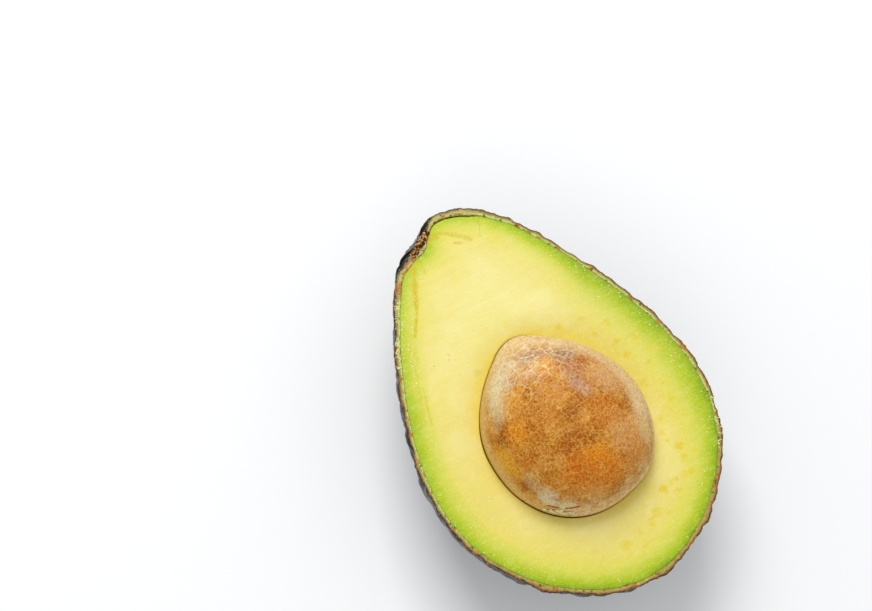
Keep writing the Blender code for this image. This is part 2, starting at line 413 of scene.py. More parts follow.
class AvocadoPeelSettings(bpy.types.PropertyGroup):
    wrinkle_height: size_property("Wrinkle height", "Height of the fine wrinkles on the pebbles", 0.00032)
    wrinkle_size: size_property("Wrinkle size", "Distance between the fine wrinkles", 0.0026)
    nick_depth: size_property("Nick depth", "Depth of the nicks along the cut edge", 0.00028)
    nick_size: size_property("Nick size", "Distance between the nicks along the cut edge", 0.0017)
    grain_height: size_property("Grain height", "Depth of the leathery grain", 0.00010)
    crease_height: size_property("Crease height", "Depth of the finest creases", 0.00040)
    crease_size: size_property("Crease size", "Distance between the finest creases", 0.0030)
    skin: colour_property("Skin", "Ripe skin, between its pebbles", "141214")
    skin_worn: colour_property("Skin on pebbles", "Ripe skin on top of its pebbles", "2F2C2F")
    skin_green: colour_property("Green flush", "Skin that is still green, near the stem", "2F3C14")
    edge_outer: colour_property("Edge, outer", "Cut edge of the peel next to the skin", "7A4A1A")
    edge_inner: colour_property("Edge, inner", "Cut edge of the peel", "B0984A")
    lenticel: colour_property("Lenticels", "Corky dots on the skin", "BE6A2C")
    lenticel_spacing: size_property("Lenticel spacing", "Least distance between two corky dots", 0.0008)
    lenticel_smallest: size_property("Smallest lenticel", "Radius of the smallest corky dots", 0.00009)
    lenticel_largest: size_property("Largest lenticel", "Radius of the largest corky dots", 0.00042)


class AvocadoFleshSettings(bpy.types.PropertyGroup):
    # A paler cream laid on towards the stem's end, on the lamp's side: painted light over the flesh's own
    # colour
    cream: colour_property("Cream", "Flesh near the stem's end, far from the peel", "ECE18E")
    by_stone: colour_property("By the stone", "Flesh beside the stone", "E8D453")
    strand: colour_property("Strands", "Strands in the flesh", "D0B80A")
    fleck: colour_property("Flecks", "Ends of veins in the flesh", "E2C814")
    fleck_spacing: size_property("Fleck spacing", "Distance between the ends of veins", 0.0036)
    furrow: colour_property("Furrow", "Bruised line between peel and flesh", "4E5A10")
    grain_height: size_property("Grain height", "Depth of the flesh's fine grain", 0.00005)
    bead_spacing: size_property("Bead spacing", "Least distance between two beads of moisture", 0.00042)
    bead_smallest: size_property("Smallest bead", "Radius of the smallest beads of moisture", 0.00005)
    bead_largest: size_property("Largest bead", "Radius of the largest beads of moisture", 0.00015)
    # Near-white cream of the beads, a painted glint, and also the palest tone of the rim's shreds
    bead: colour_property("Moisture", "Beads of moisture on the flesh", "FBF6C6")


class AvocadoStoneSettings(bpy.types.PropertyGroup):
    coat: colour_property("Coat", "The stone's papery coat", "BC7620")
    coat_dark: colour_property("Dark coat", "Darker blotches of the coat", "A65A0C")
    rim: colour_property("Rim", "The coat near the flesh", "E6C078")
    vein: colour_property("Veins", "Pale net of veins on the coat", "EEDAB4")
    fine_vein: colour_property("Fine veins", "Light that the fine net of veins adds to the coat", "BC8E42")
    torn: colour_property("Torn coat", "Torn edges of the coat", "F2EAB8")
    slit: colour_property("Slits", "The seed inside the tears", "A2561A")
    net_size: size_property("Net size", "Distance between the coarse veins", 0.0027)
    fine_net_size: size_property("Fine net size", "Distance between the fine veins", 0.00095)
    vein_height: size_property("Vein height", "How far the veins stand out", 0.00008)


class AvocadoCorkSettings(bpy.types.PropertyGroup):
    light: colour_property("Light cork", "Crumbs of cork", "BC8240")
    dark: colour_property("Dark cork", "Pits in the cork", "3A2212")
    crumb_spacing: size_property("Crumb spacing", "Least distance between two crumbs", 0.00030)
    crumb_smallest: size_property("Smallest crumb", "Radius of the smallest crumbs", 0.00010)
    crumb_largest: size_property("Largest crumb", "Radius of the largest crumbs", 0.00030)


class AvocadoStageSettings(bpy.types.PropertyGroup):
    floor: colour_property("Floor", "The pale floor", "F8F8F8")
    room: colour_property("Room", "The light of the room", "FBFDFF")
    room_strength: FloatProperty(name="Room light", description="Strength of the room's light", default=0.60)
    lamp_power: FloatProperty(name="Lamp power", description="The big lamp", default=5.7, unit="POWER")
    fill_power: FloatProperty(name="Fill power", description="The lamp against it", default=1.2, unit="POWER")
    seed: IntProperty(name="Seed", description="Start of every random draw", default=11, min=0)


def power_sum(coefficients, place):
    """The first coefficient, plus the second times place, plus the third times place squared, and so on."""
    return sum(factor * place ** power for power, factor in enumerate(coefficients))


def soft_step(share):
    """A share from 0 to 1, eased at both ends."""
    return share * share * (3.0 - 2.0 * share)


def stretch(turn_degrees, window):
    """1 inside a stretch of the rim, 0 outside it, and a soft step at its ends."""
    start, full, full_end, end = window
    turn = (turn_degrees - start) % 360.0 + start
    if turn > end:
        return 0.0
    rise = min((turn - start) / (full - start), 1.0)
    fall = min((end - turn) / (end - full_end), 1.0)
    return soft_step(min(rise, fall))


def soft_positive(value, softness):
    """The value where it is positive, and 0 where it isn't, with a soft bend between."""
    return (value + math.sqrt(value * value + softness * softness)) / 2.0


def turn_of(direction):
    return math.degrees(math.atan2(direction.y, direction.x))


def egg_turn(x, y):
    """The turn round the fruit of a place on it, as if the fruit were round."""
    return math.degrees(math.atan2(y / HALF_LENGTH, x / HALF_WIDTH))


def unit_direction(turn, rise):
    """A unit direction from its turn round the fruit and its rise over the knife's plane, in radians."""
    return Vector((math.cos(turn) * math.cos(rise), math.sin(turn) * math.cos(rise), math.sin(rise)))


def egg_point(direction, inset):
    """The place on the fruit of a point of the unit sphere, moved in from the skin's mean surface by inset."""
    along = direction.y
    width = HALF_WIDTH * power_sum((1.0, *WIDTH_TAPER), along) - inset
    depth = DEPTH * power_sum((1.0, *DEPTH_TAPER), along) - inset
    return Vector((
        power_sum(LEAN, along) + direction.x * width,
        along * (HALF_LENGTH - inset),
        direction.z * depth,
    ))


STEM_DIRECTION = Vector((STEM_SIDE, math.sqrt(1.0 - STEM_SIDE ** 2), 0.0))
STEM_PLACE = egg_point(STEM_DIRECTION, 0.0)


def egg_normal(direction):
    """The outward direction of the fruit's smooth surface, from two short steps along it."""
    step = 1e-3
    side = direction.orthogonal().normalized()
    other = direction.cross(side)
    here = egg_point(direction, 0.0)
    first = egg_point((direction + side * step).normalized(), 0.0) - here
    second = egg_point((direction + other * step).normalized(), 0.0) - here
    return first.cross(second).normalized()


def pebbles(point):
    """The height of the skin's pebbles: rounded cells, longer along the fruit, with creases between them."""
    cell = Vector((point.x / PEBBLE_WIDTH, point.y / PEBBLE_LENGTH, point.z / PEBBLE_WIDTH))
    nearest, second = noise.voronoi(cell)[0][:2]
    swell = noise.noise(cell / SWELL_SIZE)
    return PEBBLE_HEIGHT * (min(second - nearest, PEBBLE_SIDE) - PEBBLE_SIDE / 2.0 + SWELL_SHARE * swell)


def rim_drop(turn_degrees, from_peel):
    """How far the facet along the left rim lies below the knife's plane."""
    on_facet = soft_positive(FACET_WIDTH - from_peel, FACET_SOFTNESS)
    return FACET_SLOPE * on_facet * stretch(turn_degrees, LEFT_RIM)


def lower_near_cut(point, turn_degrees):
    """Lets the top of the peel follow the facet, and leaves what is deeper where it is."""
    share = max(1.0 + point.z / FACET_FADE, 0.0)
    point.z -= rim_drop(turn_degrees, 0.0) * share
    return point


def skin_point(direction, settings):
    """The outside of the skin with its pebbles and wrinkles, the stem's dimple and the flat spot below."""
    point = egg_point(direction, 0.0)
    reach = (point - STEM_PLACE).length
    smooth = 1.0 - math.exp(-((reach / SMOOTH_NEAR_STEM) ** 2))
    dent = DIMPLE_DEPTH * math.exp(-((reach / DIMPLE_RADIUS) ** 2))
    height = pebbles(point)
    wrinkle = settings.wrinkle_height * noise.fractal(point / settings.wrinkle_size, 1.0, 2.0, 3)
    nick = settings.nick_depth * noise.fractal(point / settings.nick_size, 1.0, 2.0, 2)
    nick *= math.exp(point.z / NICK_REACH)
    point += egg_normal(direction) * (height * smooth + wrinkle + nick - dent)
    point.z = max(point.z, -CUT_HEIGHT)
    return lower_near_cut(point, turn_of(direction)), height / PEBBLE_HEIGHT


def lining_point(direction, inset):
    """A smooth surface inside the skin, which follows the dimple."""
    point = egg_point(direction, inset)
    stem = egg_point(STEM_DIRECTION, inset)
    dent = DIMPLE_DEPTH * math.exp(-(((point - stem).length / DIMPLE_RADIUS) ** 2))
    return point - egg_normal(direction) * dent


def rim_inset(direction):
    """How deep the peel reaches at the cut: a little wavy, and thicker near the stem."""
    wave = PEEL_WAVE * noise.noise(direction * PEEL_WAVE_COUNT)
    turn = turn_of(direction)
    thicker = STEM_THICKENING * stretch(turn, STEM_END) + SKIN_ROLL_THICKENING * stretch(turn, SKIN_ROLL)
    return PEEL_THICKNESS * (1.0 + wave) + thicker


def stone_point(direction, clearance):
    """The stone's surface, a little uneven, moved out by clearance."""
    along = direction.y
    taper = power_sum((1.0, *STONE_TAPER), along)
    height = STONE_RISE if direction.z > 0.0 else STONE_SUNK
    uneven = STONE_DIMPLING * noise.noise(direction * (STONE_HALF_WIDTH / STONE_DIMPLE_SIZE))
    swell = clearance + uneven
    return STONE_CENTRE + Vector((
        direction.x * (STONE_HALF_WIDTH * taper + swell) + STONE_LEAN * along,
        along * (STONE_HALF_LENGTH + swell),
        direction.z * (height * taper + swell),
    ))


def on_stone(place, clearance=0.0):
    """The point of the stone's upper side over a place given from its middle, moved out by clearance."""
    along = place[1] / STONE_HALF_LENGTH
    taper = power_sum((1.0, *STONE_TAPER), along)
    across = (place[0] - STONE_LEAN * along) / (STONE_HALF_WIDTH * taper)
    rise = math.sqrt(max(1.0 - across * across - along * along, 0.0))
    return stone_point(Vector((across, along, rise)).normalized(), clearance)


def torn_open(turn_degrees):
    """How far the pale skin between peel and flesh shows on the rim, from 0 to 1."""
    return max(stretch(turn_degrees, OPENED_RIGHT), stretch(turn_degrees, OPENED_LEFT))


def rim_turns():
    return [2.0 * math.pi * number / RIM_POINTS for number in range(RIM_POINTS)]


def even_sphere(squares):
    """A cube of squares blown up into a unit sphere of evenly sized squares."""
    bm = bmesh.new()
    bmesh.ops.create_cube(bm, size=2.0)
    bmesh.ops.subdivide_edges(bm, edges=bm.edges[:], cuts=squares - 1, use_grid_fill=True)
    for vert in bm.verts:
        vert.co = Vector([math.tan(value * math.pi / 4.0) for value in vert.co]).normalized()
    return bm


def lower_half(squares):
    bm = even_sphere(squares)
    upper = [face for face in bm.faces if face.calc_center_median().z > 0.0]
    bmesh.ops.delete(bm, geom=upper, context="FACES")
    return bm


def open_edge(bm, count):
    """The points of a half sphere's open edge, in order round the rim."""
    ring = [None] * count
    for vert in bm.verts:
        if vert.is_boundary:
            turn = math.atan2(vert.co.y, vert.co.x)
            ring[round(turn / (2.0 * math.pi) * count) % count] = vert
    return ring


def bridge(bm, first, second):
    """Squares between two rings of equally many points."""
    for number, vert in enumerate(first):
        after = (number + 1) % len(first)
        bm.faces.new((vert, first[after], second[after], second[number]))


def mesh_from(bm, name):
    """A smooth mesh at the fruit's place, from shapes worked out round the knife's plane."""
    bmesh.ops.translate(bm, verts=bm.verts, vec=RAISED)
    mesh = bpy.data.meshes.new(name)
    bm.to_mesh(mesh)
    bm.free()
    mesh.shade_smooth()
    return mesh


def linked(name, data):
    made = bpy.data.objects.new(name, data)
    bpy.context.scene.collection.objects.link(made)
    return made


def add_object(name, mesh, material):
    mesh.materials.clear()
    mesh.materials.append(material)
    return linked(name, mesh)


def store(mesh, name, values):
    """Keeps one number for each point of a mesh, for its material or for what is scattered on it."""
    attribute = mesh.attributes.new(name, "FLOAT", "POINT")
    attribute.data.foreach_set("value", np.asarray(values, np.float32))


def stored(mesh, name):
    values = np.zeros(len(mesh.vertices), np.float32)
    mesh.attributes[name].data.foreach_get("value", values)
    return values


def add_node(tree, kind, inputs=(), out=0, stops=(), **settings):
    """Adds a node, gives it its settings, its inputs by name or in their order, as values or links, and a
    ramp's stops as places with colours, and returns one of its outputs."""
    made = tree.nodes.new(kind)
    for name, value in settings.items():
        setattr(made, name, value)
    for key, value in inputs.items() if isinstance(inputs, dict) else enumerate(inputs):
        if isinstance(value, bpy.types.NodeSocket):
            tree.links.new(value, made.inputs[key])
        else:
            made.inputs[key].default_value = value
    if stops:
        elements = made.color_ramp.elements
        while len(elements) < len(stops):
            elements.new(1.0)
        for element, (place, colour) in zip(elements, stops):
            element.position = place
            element.color = linear(colour)
    return made.outputs[out] if made.outputs else made


def start_material(name):
    """A new material, the function that adds nodes to it, and the place that its patterns follow."""
    made = bpy.data.materials.new(name)
    made.use_nodes = True
    made.node_tree.nodes.clear()
    add = partial(add_node, made.node_tree)
    return made, add, add("ShaderNodeTexCoord", out=OBJECT_COORDINATES)


def end_material(made, add, colour, layers, shine):
    """Ends a material with a colour, others laid over it in turn, each where its mask says, and a shine."""
    for mask, tint, *blend in layers:
        colour = add(MIX, {
            MIX_FACTOR: mask, MIX_FIRST: colour, MIX_SECOND: linear(tint),
        }, out=MIX_RESULT, data_type="RGBA", blend_type=blend[0] if blend else "MIX")
    shader = add("ShaderNodeBsdfPrincipled", {"Base Color": colour, **shine})
    add("ShaderNodeOutputMaterial", {"Surface": shader})
    return made


def patch_mask(add, place, centre, radius, strength):
    """A strength in the middle of a round patch, falling off to 0 at its radius."""
    distance = add(VECTOR_MATH, (place, centre), out=1, operation="DISTANCE")
    return add(MAP_RANGE, (
        distance, radius, radius * PATCH_CORE, 0.0, strength,
    ), interpolation_type="SMOOTHSTEP")


def line_mask(add, place, start, end, half_width, strength=1.0):
    """A strength on a straight line between two points, falling off to 0 at half_width beside it."""
    run = Vector(end) - Vector(start)
    from_start = add(VECTOR_MATH, (place, start), operation="SUBTRACT")
    share = add(VECTOR_MATH, (from_start, run / run.length_squared), out=1, operation="DOT_PRODUCT")
    share = add(MATH, (share, 0.0), operation="ADD", use_clamp=True)
    foot = add(VECTOR_MATH, {0: run, "Scale": share}, operation="SCALE")
    distance = add(VECTOR_MATH, (from_start, foot), out=1, operation="DISTANCE")
    return add(MAP_RANGE, (
        distance, half_width, half_width * LINE_CORE, 0.0, strength,
    ), interpolation_type="SMOOTHSTEP")


def shifted(add, place, size, reach, seed):
    """The place moved about by a soft noise, so that patches get ragged edges."""
    wander = add(NOISE, {
        "Vector": place, "W": seed, "Scale": 1.0 / size, "Detail": 3.0, "Roughness": 0.65,
    }, out=1, noise_dimensions="4D")
    wander = add(VECTOR_MATH, (wander, (0.5, 0.5, 0.5)), operation="SUBTRACT")
    wander = add(VECTOR_MATH, {0: wander, "Scale": reach * 2.0}, operation="SCALE")
    return add(VECTOR_MATH, (place, wander), operation="ADD")


# Avocado skin, grown and ripe: nearly black, leathery and waxy, so it has a soft grey gloss on its pebbles
def skin_material(settings):
    made, add, place = start_material("ripe_avocado_skin")
    pebble, across, opened = (
        add(ATTRIBUTE, out=ATTRIBUTE_VALUE, attribute_name=name) for name in ("pebble", "across_edge", "opened")
    )
    mottle, grain, reddish, below, edge_grain, blotch = (
        add(NOISE, {
            "Vector": place, "Scale": 1.0 / size, "Detail": detail, "Roughness": rough, "Distortion": bent,
        })
        for size, detail, rough, bent in (
            (0.005, 4.0, 0.65, 0.0), (0.0009, 3.0, 0.65, 0.0), (0.013, 3.0, 0.5, 0.4),
            (0.022, 4.0, 0.5, 0.0), (0.0008, 3.0, 0.7, 0.0), (0.0022, 3.0, 0.65, 0.0),
        )
    )
    worn = add(MAP_RANGE, (pebble, -0.35, 0.35))
    worn = add(MATH, (worn, mottle), operation="MULTIPLY", use_clamp=True)
    reddish = add(MAP_RANGE, (reddish, 0.50, 0.70, 0.0, 0.6))

    # Green is left near the stem and in a few places below, in the creases first
    flush = patch_mask(add, shifted(add, place, 0.012, 0.008, 2.0), STEM_PLACE + RAISED, 0.024, 0.40)
    below = add(MAP_RANGE, (below, 0.58, 0.74, 0.0, 0.45))
    flush = add(MATH, (flush, below), operation="MAXIMUM")
    broken = add(MAP_RANGE, (mottle, 0.38, 0.58, 0.25))
    flush = add(MATH, (flush, broken), operation="MULTIPLY")

    # The smallest corky dots are painted, and the larger ones are a piece of their own
    dots = add(VORONOI, {"Vector": shifted(add, place, 0.0008, 0.0004, 6.0), "Scale": 1.0 / 0.0023})
    dots = add(MAP_RANGE, (dots, 0.13, 0.06, 0.0, 0.85))

    # The cut edge: dark by the skin, then tan, greener near the stem, and pale on the right and the left, where
    # the knife tore the peel and the skin between peel and flesh shows; with rusty, bruised and torn bits
    wander = add(MATH, (edge_grain, 0.5), operation="SUBTRACT")
    edge_place = add(MATH, (wander, 1.3, across), operation="MULTIPLY_ADD")
    tan, green, pale = (add(RAMP, (edge_place,), stops=stops) for stops in (
        ((0.0, "1A0F08"), (0.10, "3A2010"), (0.22, settings.edge_outer), (0.36, "9E7A36"),
         (0.60, settings.edge_inner), (0.86, "9E9440"), (1.0, "98A030")),
        ((0.0, "1A1408"), (0.12, "4A3A14"), (0.24, "80842E"), (0.38, "BAA25C"),
         (0.66, "D2BA78"), (0.84, "BCAA56"), (1.0, "7A8030")),
        ((0.0, "1A0F08"), (0.14, "3A2610"), (0.26, "8A5A1E"), (0.42, "948A36"),
         (0.62, "B2B052"), (0.80, "D6D890"), (1.0, "A6BC38")),
    ))
    height = add("ShaderNodeSeparateXYZ", (place,), out=1)
    at_stem = add(MAP_RANGE, (height, 0.026, 0.044))
    at_stem = add(MATH, (blotch, 1.4, at_stem), operation="MULTIPLY_ADD")
    at_stem = add(MAP_RANGE, (at_stem, 0.85, 1.45))
    opened = add(MATH, (blotch, 1.4, opened), operation="MULTIPLY_ADD")
    opened = add(MAP_RANGE, (opened, 0.95, 1.35))
    rusty = add(MAP_RANGE, (blotch, 0.55, 0.63, 0.0, 0.80))
    bruise = add(MAP_RANGE, (edge_grain, 0.56, 0.64, 0.0, 0.80))
    torn = add(MAP_RANGE, (edge_grain, 0.42, 0.32, 0.0, 0.60))
    edge = tan
    for mask, tint in (
        (at_stem, green), (opened, pale), (rusty, "B0661A"), (bruise, "33200E"), (torn, "D6C880"),
    ):
        edge = add(MIX, {
            MIX_FACTOR: mask, MIX_FIRST: edge, MIX_SECOND: linear(tint),
        }, out=MIX_RESULT, data_type="RGBA")
    on_edge = add(MAP_RANGE, (across, -0.25, 0.0))
    layers = (
        (worn, settings.skin_worn), (reddish, "301816"), (flush, settings.skin_green),
        (dots, settings.lenticel), (on_edge, edge),
    )

    gloss = add(MAP_RANGE, (mottle, 0.3, 0.7, 0.19, 0.38))
    gloss = add(MATH, (on_edge, 0.3, gloss), operation="MULTIPLY_ADD")
    crease = add(NOISE, {
        "Vector": place, "Scale": 1.0 / settings.crease_size, "Detail": 3.0, "Distortion": 0.9,
    }, noise_type="RIDGED_MULTIFRACTAL")
    creased = add(BUMP, {"Height": crease, "Distance": settings.crease_height, "Strength": 0.8})
    heights = add(MATH, (edge_grain, 1.5, grain), operation="MULTIPLY_ADD")
    relief = add(BUMP, {
        "Height": heights, "Distance": settings.grain_height, "Strength": 0.9, "Normal": creased,
    })
    return end_material(made, add, settings.skin, layers, {
        "Roughness": gloss, "Normal": relief, "IOR": 1.45, "Specular IOR Level": 0.48,
    })


# Avocado flesh, cut with a knife: buttery and a little moist, green by the peel and cream further in, with
# painted light that makes it paler towards the stem's end, on the lamp's side
def flesh_material(settings):
    made, add, place = start_material("ripe_avocado_flesh")
    flat = add(VECTOR_MATH, (place, (1.0, 1.0, 0.0)), operation="MULTIPLY")
    depth, cream_and_painted_light, by_stone, zone, furrow = (
        add(ATTRIBUTE, out=ATTRIBUTE_VALUE, attribute_name=name)
        for name in ("green_depth", "cream_and_painted_light", "by_stone", "fleck_zone", "furrow")
    )
    wander, cloud, broken, grain, dots = (
        add(NOISE, {"Vector": place, "Scale": 1.0 / size, "Detail": detail, "Roughness": rough})
        for size, detail, rough in (
            (0.004, 4.0, 0.6), (0.006, 4.0, 0.65), (0.0011, 3.0, 0.7), (0.0005, 3.0, 0.6), (0.0006, 2.0, 0.5),
        )
    )
    wander = add(MATH, (wander, 0.5), operation="SUBTRACT")
    depth = add(MATH, (wander, 0.10, depth), operation="MULTIPLY_ADD")
    colour = add(RAMP, (depth,), stops=(
        (0.0, "7EA000"), (0.055, "9CBA04"), (0.12, "B4C61C"), (0.185, "C8CF40"), (0.25, "D5D454"),
        (0.34, "DED658"), (0.47, "E4D668"), (0.70, "E8D976"), (1.0, "ECDD84"),
    ))
    cloud = add(MAP_RANGE, (cloud, 0.48, 0.70, 0.0, 0.24))
    curd = add(NOISE, {
        "Vector": place, "W": 4.0, "Scale": 1.0 / 0.0085, "Detail": 5.0, "Roughness": 0.6,
    }, noise_dimensions="4D")
    curd = add(MAP_RANGE, (curd, 0.48, 0.66, 0.0, 0.26))
    inward = add(MAP_RANGE, (depth, 0.20, 0.50))
    curd = add(MATH, (curd, inward), operation="MULTIPLY")

    # The knife's fine streaks run across the fruit
    combed = add("ShaderNodeMapping", {"Vector": place, "Scale": (0.26, 1.0, 1.0)})
    streak = add(NOISE, {"Vector": combed, "Scale": 1.0 / 0.0006, "Detail": 3.0, "Roughness": 0.6})
    pale = add(MAP_RANGE, (streak, 0.50, 0.75, 0.0, 0.16))

    # The ends of the fruit's veins, as irregular flecks of two or three sizes in a ring inside the peel
    warped = shifted(add, flat, 0.0018, 0.0021, 3.0)
    warped = add(VECTOR_MATH, (warped, (0.8, 1.3, 0.0)), operation="MULTIPLY")
    cells = {"Vector": warped, "Scale": 1.0 / settings.fleck_spacing}
    gap = add(VORONOI, cells, voronoi_dimensions="2D")
    draw = add(VORONOI, cells, out=1, voronoi_dimensions="2D")
    draw = add("ShaderNodeSeparateColor", (draw,))
    size = add(MAP_RANGE, (draw, 0.38, 1.0, 0.0, 0.40))
    core = add(MATH, (size, 0.35), operation="MULTIPLY")
    fleck = add(MAP_RANGE, (gap, size, core, 0.0, 0.70))
    fleck = add(MATH, (fleck, zone), operation="MULTIPLY")
    # The paler cream towards the stem's end is painted light from the lamp's side
    layers = [
        (cream_and_painted_light, settings.cream), (by_stone, settings.by_stone), (cloud, "E6D450"), (curd, "F5EEB0"),
        (pale, "F7F1B4"), (fleck, settings.fleck),
    ]

    broken = add(MAP_RANGE, (broken, 0.34, 0.60, 0.45))
    trembling = shifted(add, flat, 0.0014, 0.0004, 5.0)
    for line, half_width, strength in STRANDS:
        for start, end in zip(line, line[1:]):
            strand = line_mask(add, trembling, (*start, 0.0), (*end, 0.0), half_width, strength)
            layers.append((add(MATH, (strand, broken), operation="MULTIPLY"), settings.strand))
    uneven = shifted(add, flat, 0.0009, 0.0013, 3.0)
    for marks, around, tint in ((GREEN_MARKS, trembling, "A5B820"), (OCHRE_MARKS, uneven, "E2CA14")):
        for spot, radius, strength in marks:
            layers.append((patch_mask(add, around, (*spot, 0.0), radius, strength), tint))
    for start, end in zip(CRACK, CRACK[1:]):
        crack = line_mask(add, flat, (*start, 0.0), (*end, 0.0), CRACK_HALF_WIDTH, CRACK_STRENGTH)
        layers.append((crack, "9AA640"))
    light = add(MAP_RANGE, (grain, 0.52, 0.70, 0.0, 0.20))
    dots = add(MAP_RANGE, (dots, 0.47, 0.57))
    furrow = add(MATH, (furrow, dots), operation="MULTIPLY")
    layers += [(light, "F5F0B0"), (furrow, settings.furrow)]

    heights = add(MATH, (streak, grain), operation="ADD")
    relief = add(BUMP, {"Height": heights, "Distance": settings.grain_height, "Strength": 0.7})
    gloss = add(MAP_RANGE, (wander, -0.2, 0.2, 0.34, 0.50))
    return end_material(made, add, colour, layers, {
        "Roughness": gloss, "Normal": relief, "IOR": 1.40, "Specular IOR Level": 0.30,
        "Subsurface Weight": 0.20, "Subsurface Radius": (1.0, 0.8, 0.25), "Subsurface Scale": 0.0010,
    })


# Avocado stone in its dry papery coat, grown: dull, blotched from beige to rust, with a net of pale veins; its
# beige towards the lamp is partly a painted highlight and its rust towards the base partly painted shade
def stone_material(settings):
    made, add, place = start_material("papery_avocado_stone")
    blotch, patchy, speckle = (
        add(NOISE, {"Vector": place, "Scale": 1.0 / size, "Detail": detail, "Roughness": rough})
        for size, detail, rough in ((0.0045, 4.0, 0.65), (0.0024, 4.0, 0.65), (0.0005, 2.0, 0.7))
    )
    colour = add(RAMP, (blotch,), stops=((0.36, settings.coat_dark), (0.50, settings.coat), (0.66, "D4984A")))
    ragged = shifted(add, place, 0.0035, STONE_PATCH_RAGGEDNESS, 4.0)
    ragged = shifted(add, ragged, 0.0010, 0.0012, 6.0)
    layers = []
    # Patches by place: the coat's blotches, with a painted highlight in the pale cream ones towards the lamp
    # and painted shade in the darker orange-brown ones away from it
    for x, y, radius, tint, strength in STONE_PATCHES_AND_PAINTED_LIGHT:
        centre = on_stone((x / 1000.0, y / 1000.0)) + RAISED
        layers.append((patch_mask(add, ragged, centre, radius / 1000.0, strength), tint))

    height = add("ShaderNodeSeparateXYZ", (ragged,), out=2)
    rim = add(MAP_RANGE, (
        height, CUT_HEIGHT + 0.0065, CUT_HEIGHT + 0.0015, 0.0, 0.85,
    ), interpolation_type="SMOOTHSTEP")
    pale_rim = add(ATTRIBUTE, out=ATTRIBUTE_VALUE, attribute_name="pale_rim")
    pale_rim = add(MATH, (patchy, 1.3, pale_rim), operation="MULTIPLY_ADD")
    pale_rim = add(MAP_RANGE, (pale_rim, 0.82, 1.62, 0.0, 0.92))
    flaked = shifted(add, place, 0.0016, 0.0012, 8.0)
    flaked = add(NOISE, {"Vector": flaked, "Scale": 1.0 / 0.0011, "Detail": 4.0, "Roughness": 0.7})
    flaked = add(RAMP, (flaked,), stops=((0.38, "D0A066"), (0.50, "E6C892"), (0.62, "F2DEB6")))
    dark = add(MAP_RANGE, (pale_rim, 0.0, 1.0, 0.70, 0.40))
    dark = add(MAP_RANGE, (speckle, 0.50, 0.66, 0.0, dark))
    layers += [(rim, settings.rim), (pale_rim, flaked), (dark, "C88C46", "MULTIPLY")]

    # The real veins are about a tenth of a millimetre wide, and are drawn twice as wide to show
    wandering = shifted(add, place, 0.0012, 0.0011, 7.0)
    drawn_out = add(VECTOR_MATH, (wandering, (1.0, 0.75, 1.0)), operation="MULTIPLY")
    fine, coarse = (
        add(VORONOI, {"Vector": vector, "Scale": 1.0 / size}, feature="DISTANCE_TO_EDGE")
        for vector, size in ((drawn_out, settings.fine_net_size), (wandering, settings.net_size))
    )
    patchy = add(MAP_RANGE, (patchy, 0.34, 0.62, 0.38))
    fine = add(MAP_RANGE, (fine, 0.12, 0.02))
    fine = add(MATH, (fine, patchy), operation="MULTIPLY")
    coarse = add(MAP_RANGE, (coarse, 0.070, 0.0))
    at_top = patch_mask(add, ragged, on_stone(COARSE_VEINS) + RAISED, COARSE_VEINS_REACH, 0.85)
    coarse = add(MATH, (coarse, at_top), operation="MULTIPLY")
    uneven = add(MAP_RANGE, (patchy, 0.0, 1.0, 0.45))
    coarse = add(MATH, (coarse, uneven), operation="MULTIPLY")
    layers += [(fine, settings.fine_vein, "SCREEN"), (coarse, settings.vein)]
    trembling = shifted(add, place, 0.0009, 0.0003, 9.0)
    for start, end in COAT_SLITS:
        slit = line_mask(add, trembling, on_stone(start) + RAISED, on_stone(end) + RAISED, COAT_SLIT_HALF_WIDTH)
        layers.append((slit, settings.slit))

    vein = add(MATH, (coarse, fine), operation="MAXIMUM")
    heights = add(MATH, (speckle, 0.5, vein), operation="MULTIPLY_ADD")
    relief = add(BUMP, {"Height": heights, "Distance": settings.vein_height, "Strength": 0.8})
    gloss = add(MAP_RANGE, (blotch, 0.3, 0.7, 0.46, 0.64))
    return end_material(made, add, colour, layers, {
        "Roughness": gloss, "Normal": relief, "IOR": 1.45, "Specular IOR Level": 0.12,
    })


# The coat's torn edge: thin, dry and paler than the coat, because its inner side shows
def torn_coat_material(settings):
    made, add, place = start_material("torn_papery_coat")
    fibre = add(NOISE, {"Vector": place, "Scale": 1.0 / 0.0008, "Detail": 3.0})
    brown = add(MAP_RANGE, (fibre, 0.38, 0.56, 0.0, 0.85))
    relief = add(BUMP, {"Height": fibre, "Distance": 0.0001, "Strength": 0.6})
    return end_material(made, add, settings.torn, ((brown, "BD9A54"),), {
        "Roughness": 0.6, "Normal": relief, "IOR": 1.45,
    })


# Cork of the stem's scar, grown, dry and broken open: matt crumbs of tan and orange over dark pits
def cork_material(settings):
    made, add, place = start_material("crumbly_stem_cork")
    crumb = add(VORONOI, {"Vector": place, "Scale": 1.0 / 0.00038}, out=1)
    shade = add("ShaderNodeSeparateColor", (crumb,))
    pits = add(NOISE, {"Vector": place, "Scale": 1.0 / 0.0007, "Detail": 4.0, "Roughness": 0.75})
    shade = add(MATH, (shade, pits), operation="MULTIPLY")
    colour = add(RAMP, (shade,), stops=(
        (0.14, settings.dark), (0.26, "5E3416"), (0.38, settings.light), (0.52, "DDB27A"),
    ))
    relief = add(BUMP, {"Height": pits, "Distance": 0.0002, "Strength": 0.8})
    return end_material(made, add, colour, (), {
        "Roughness": 0.85, "Normal": relief, "IOR": 1.45, "Specular IOR Level": 0.25,
    })


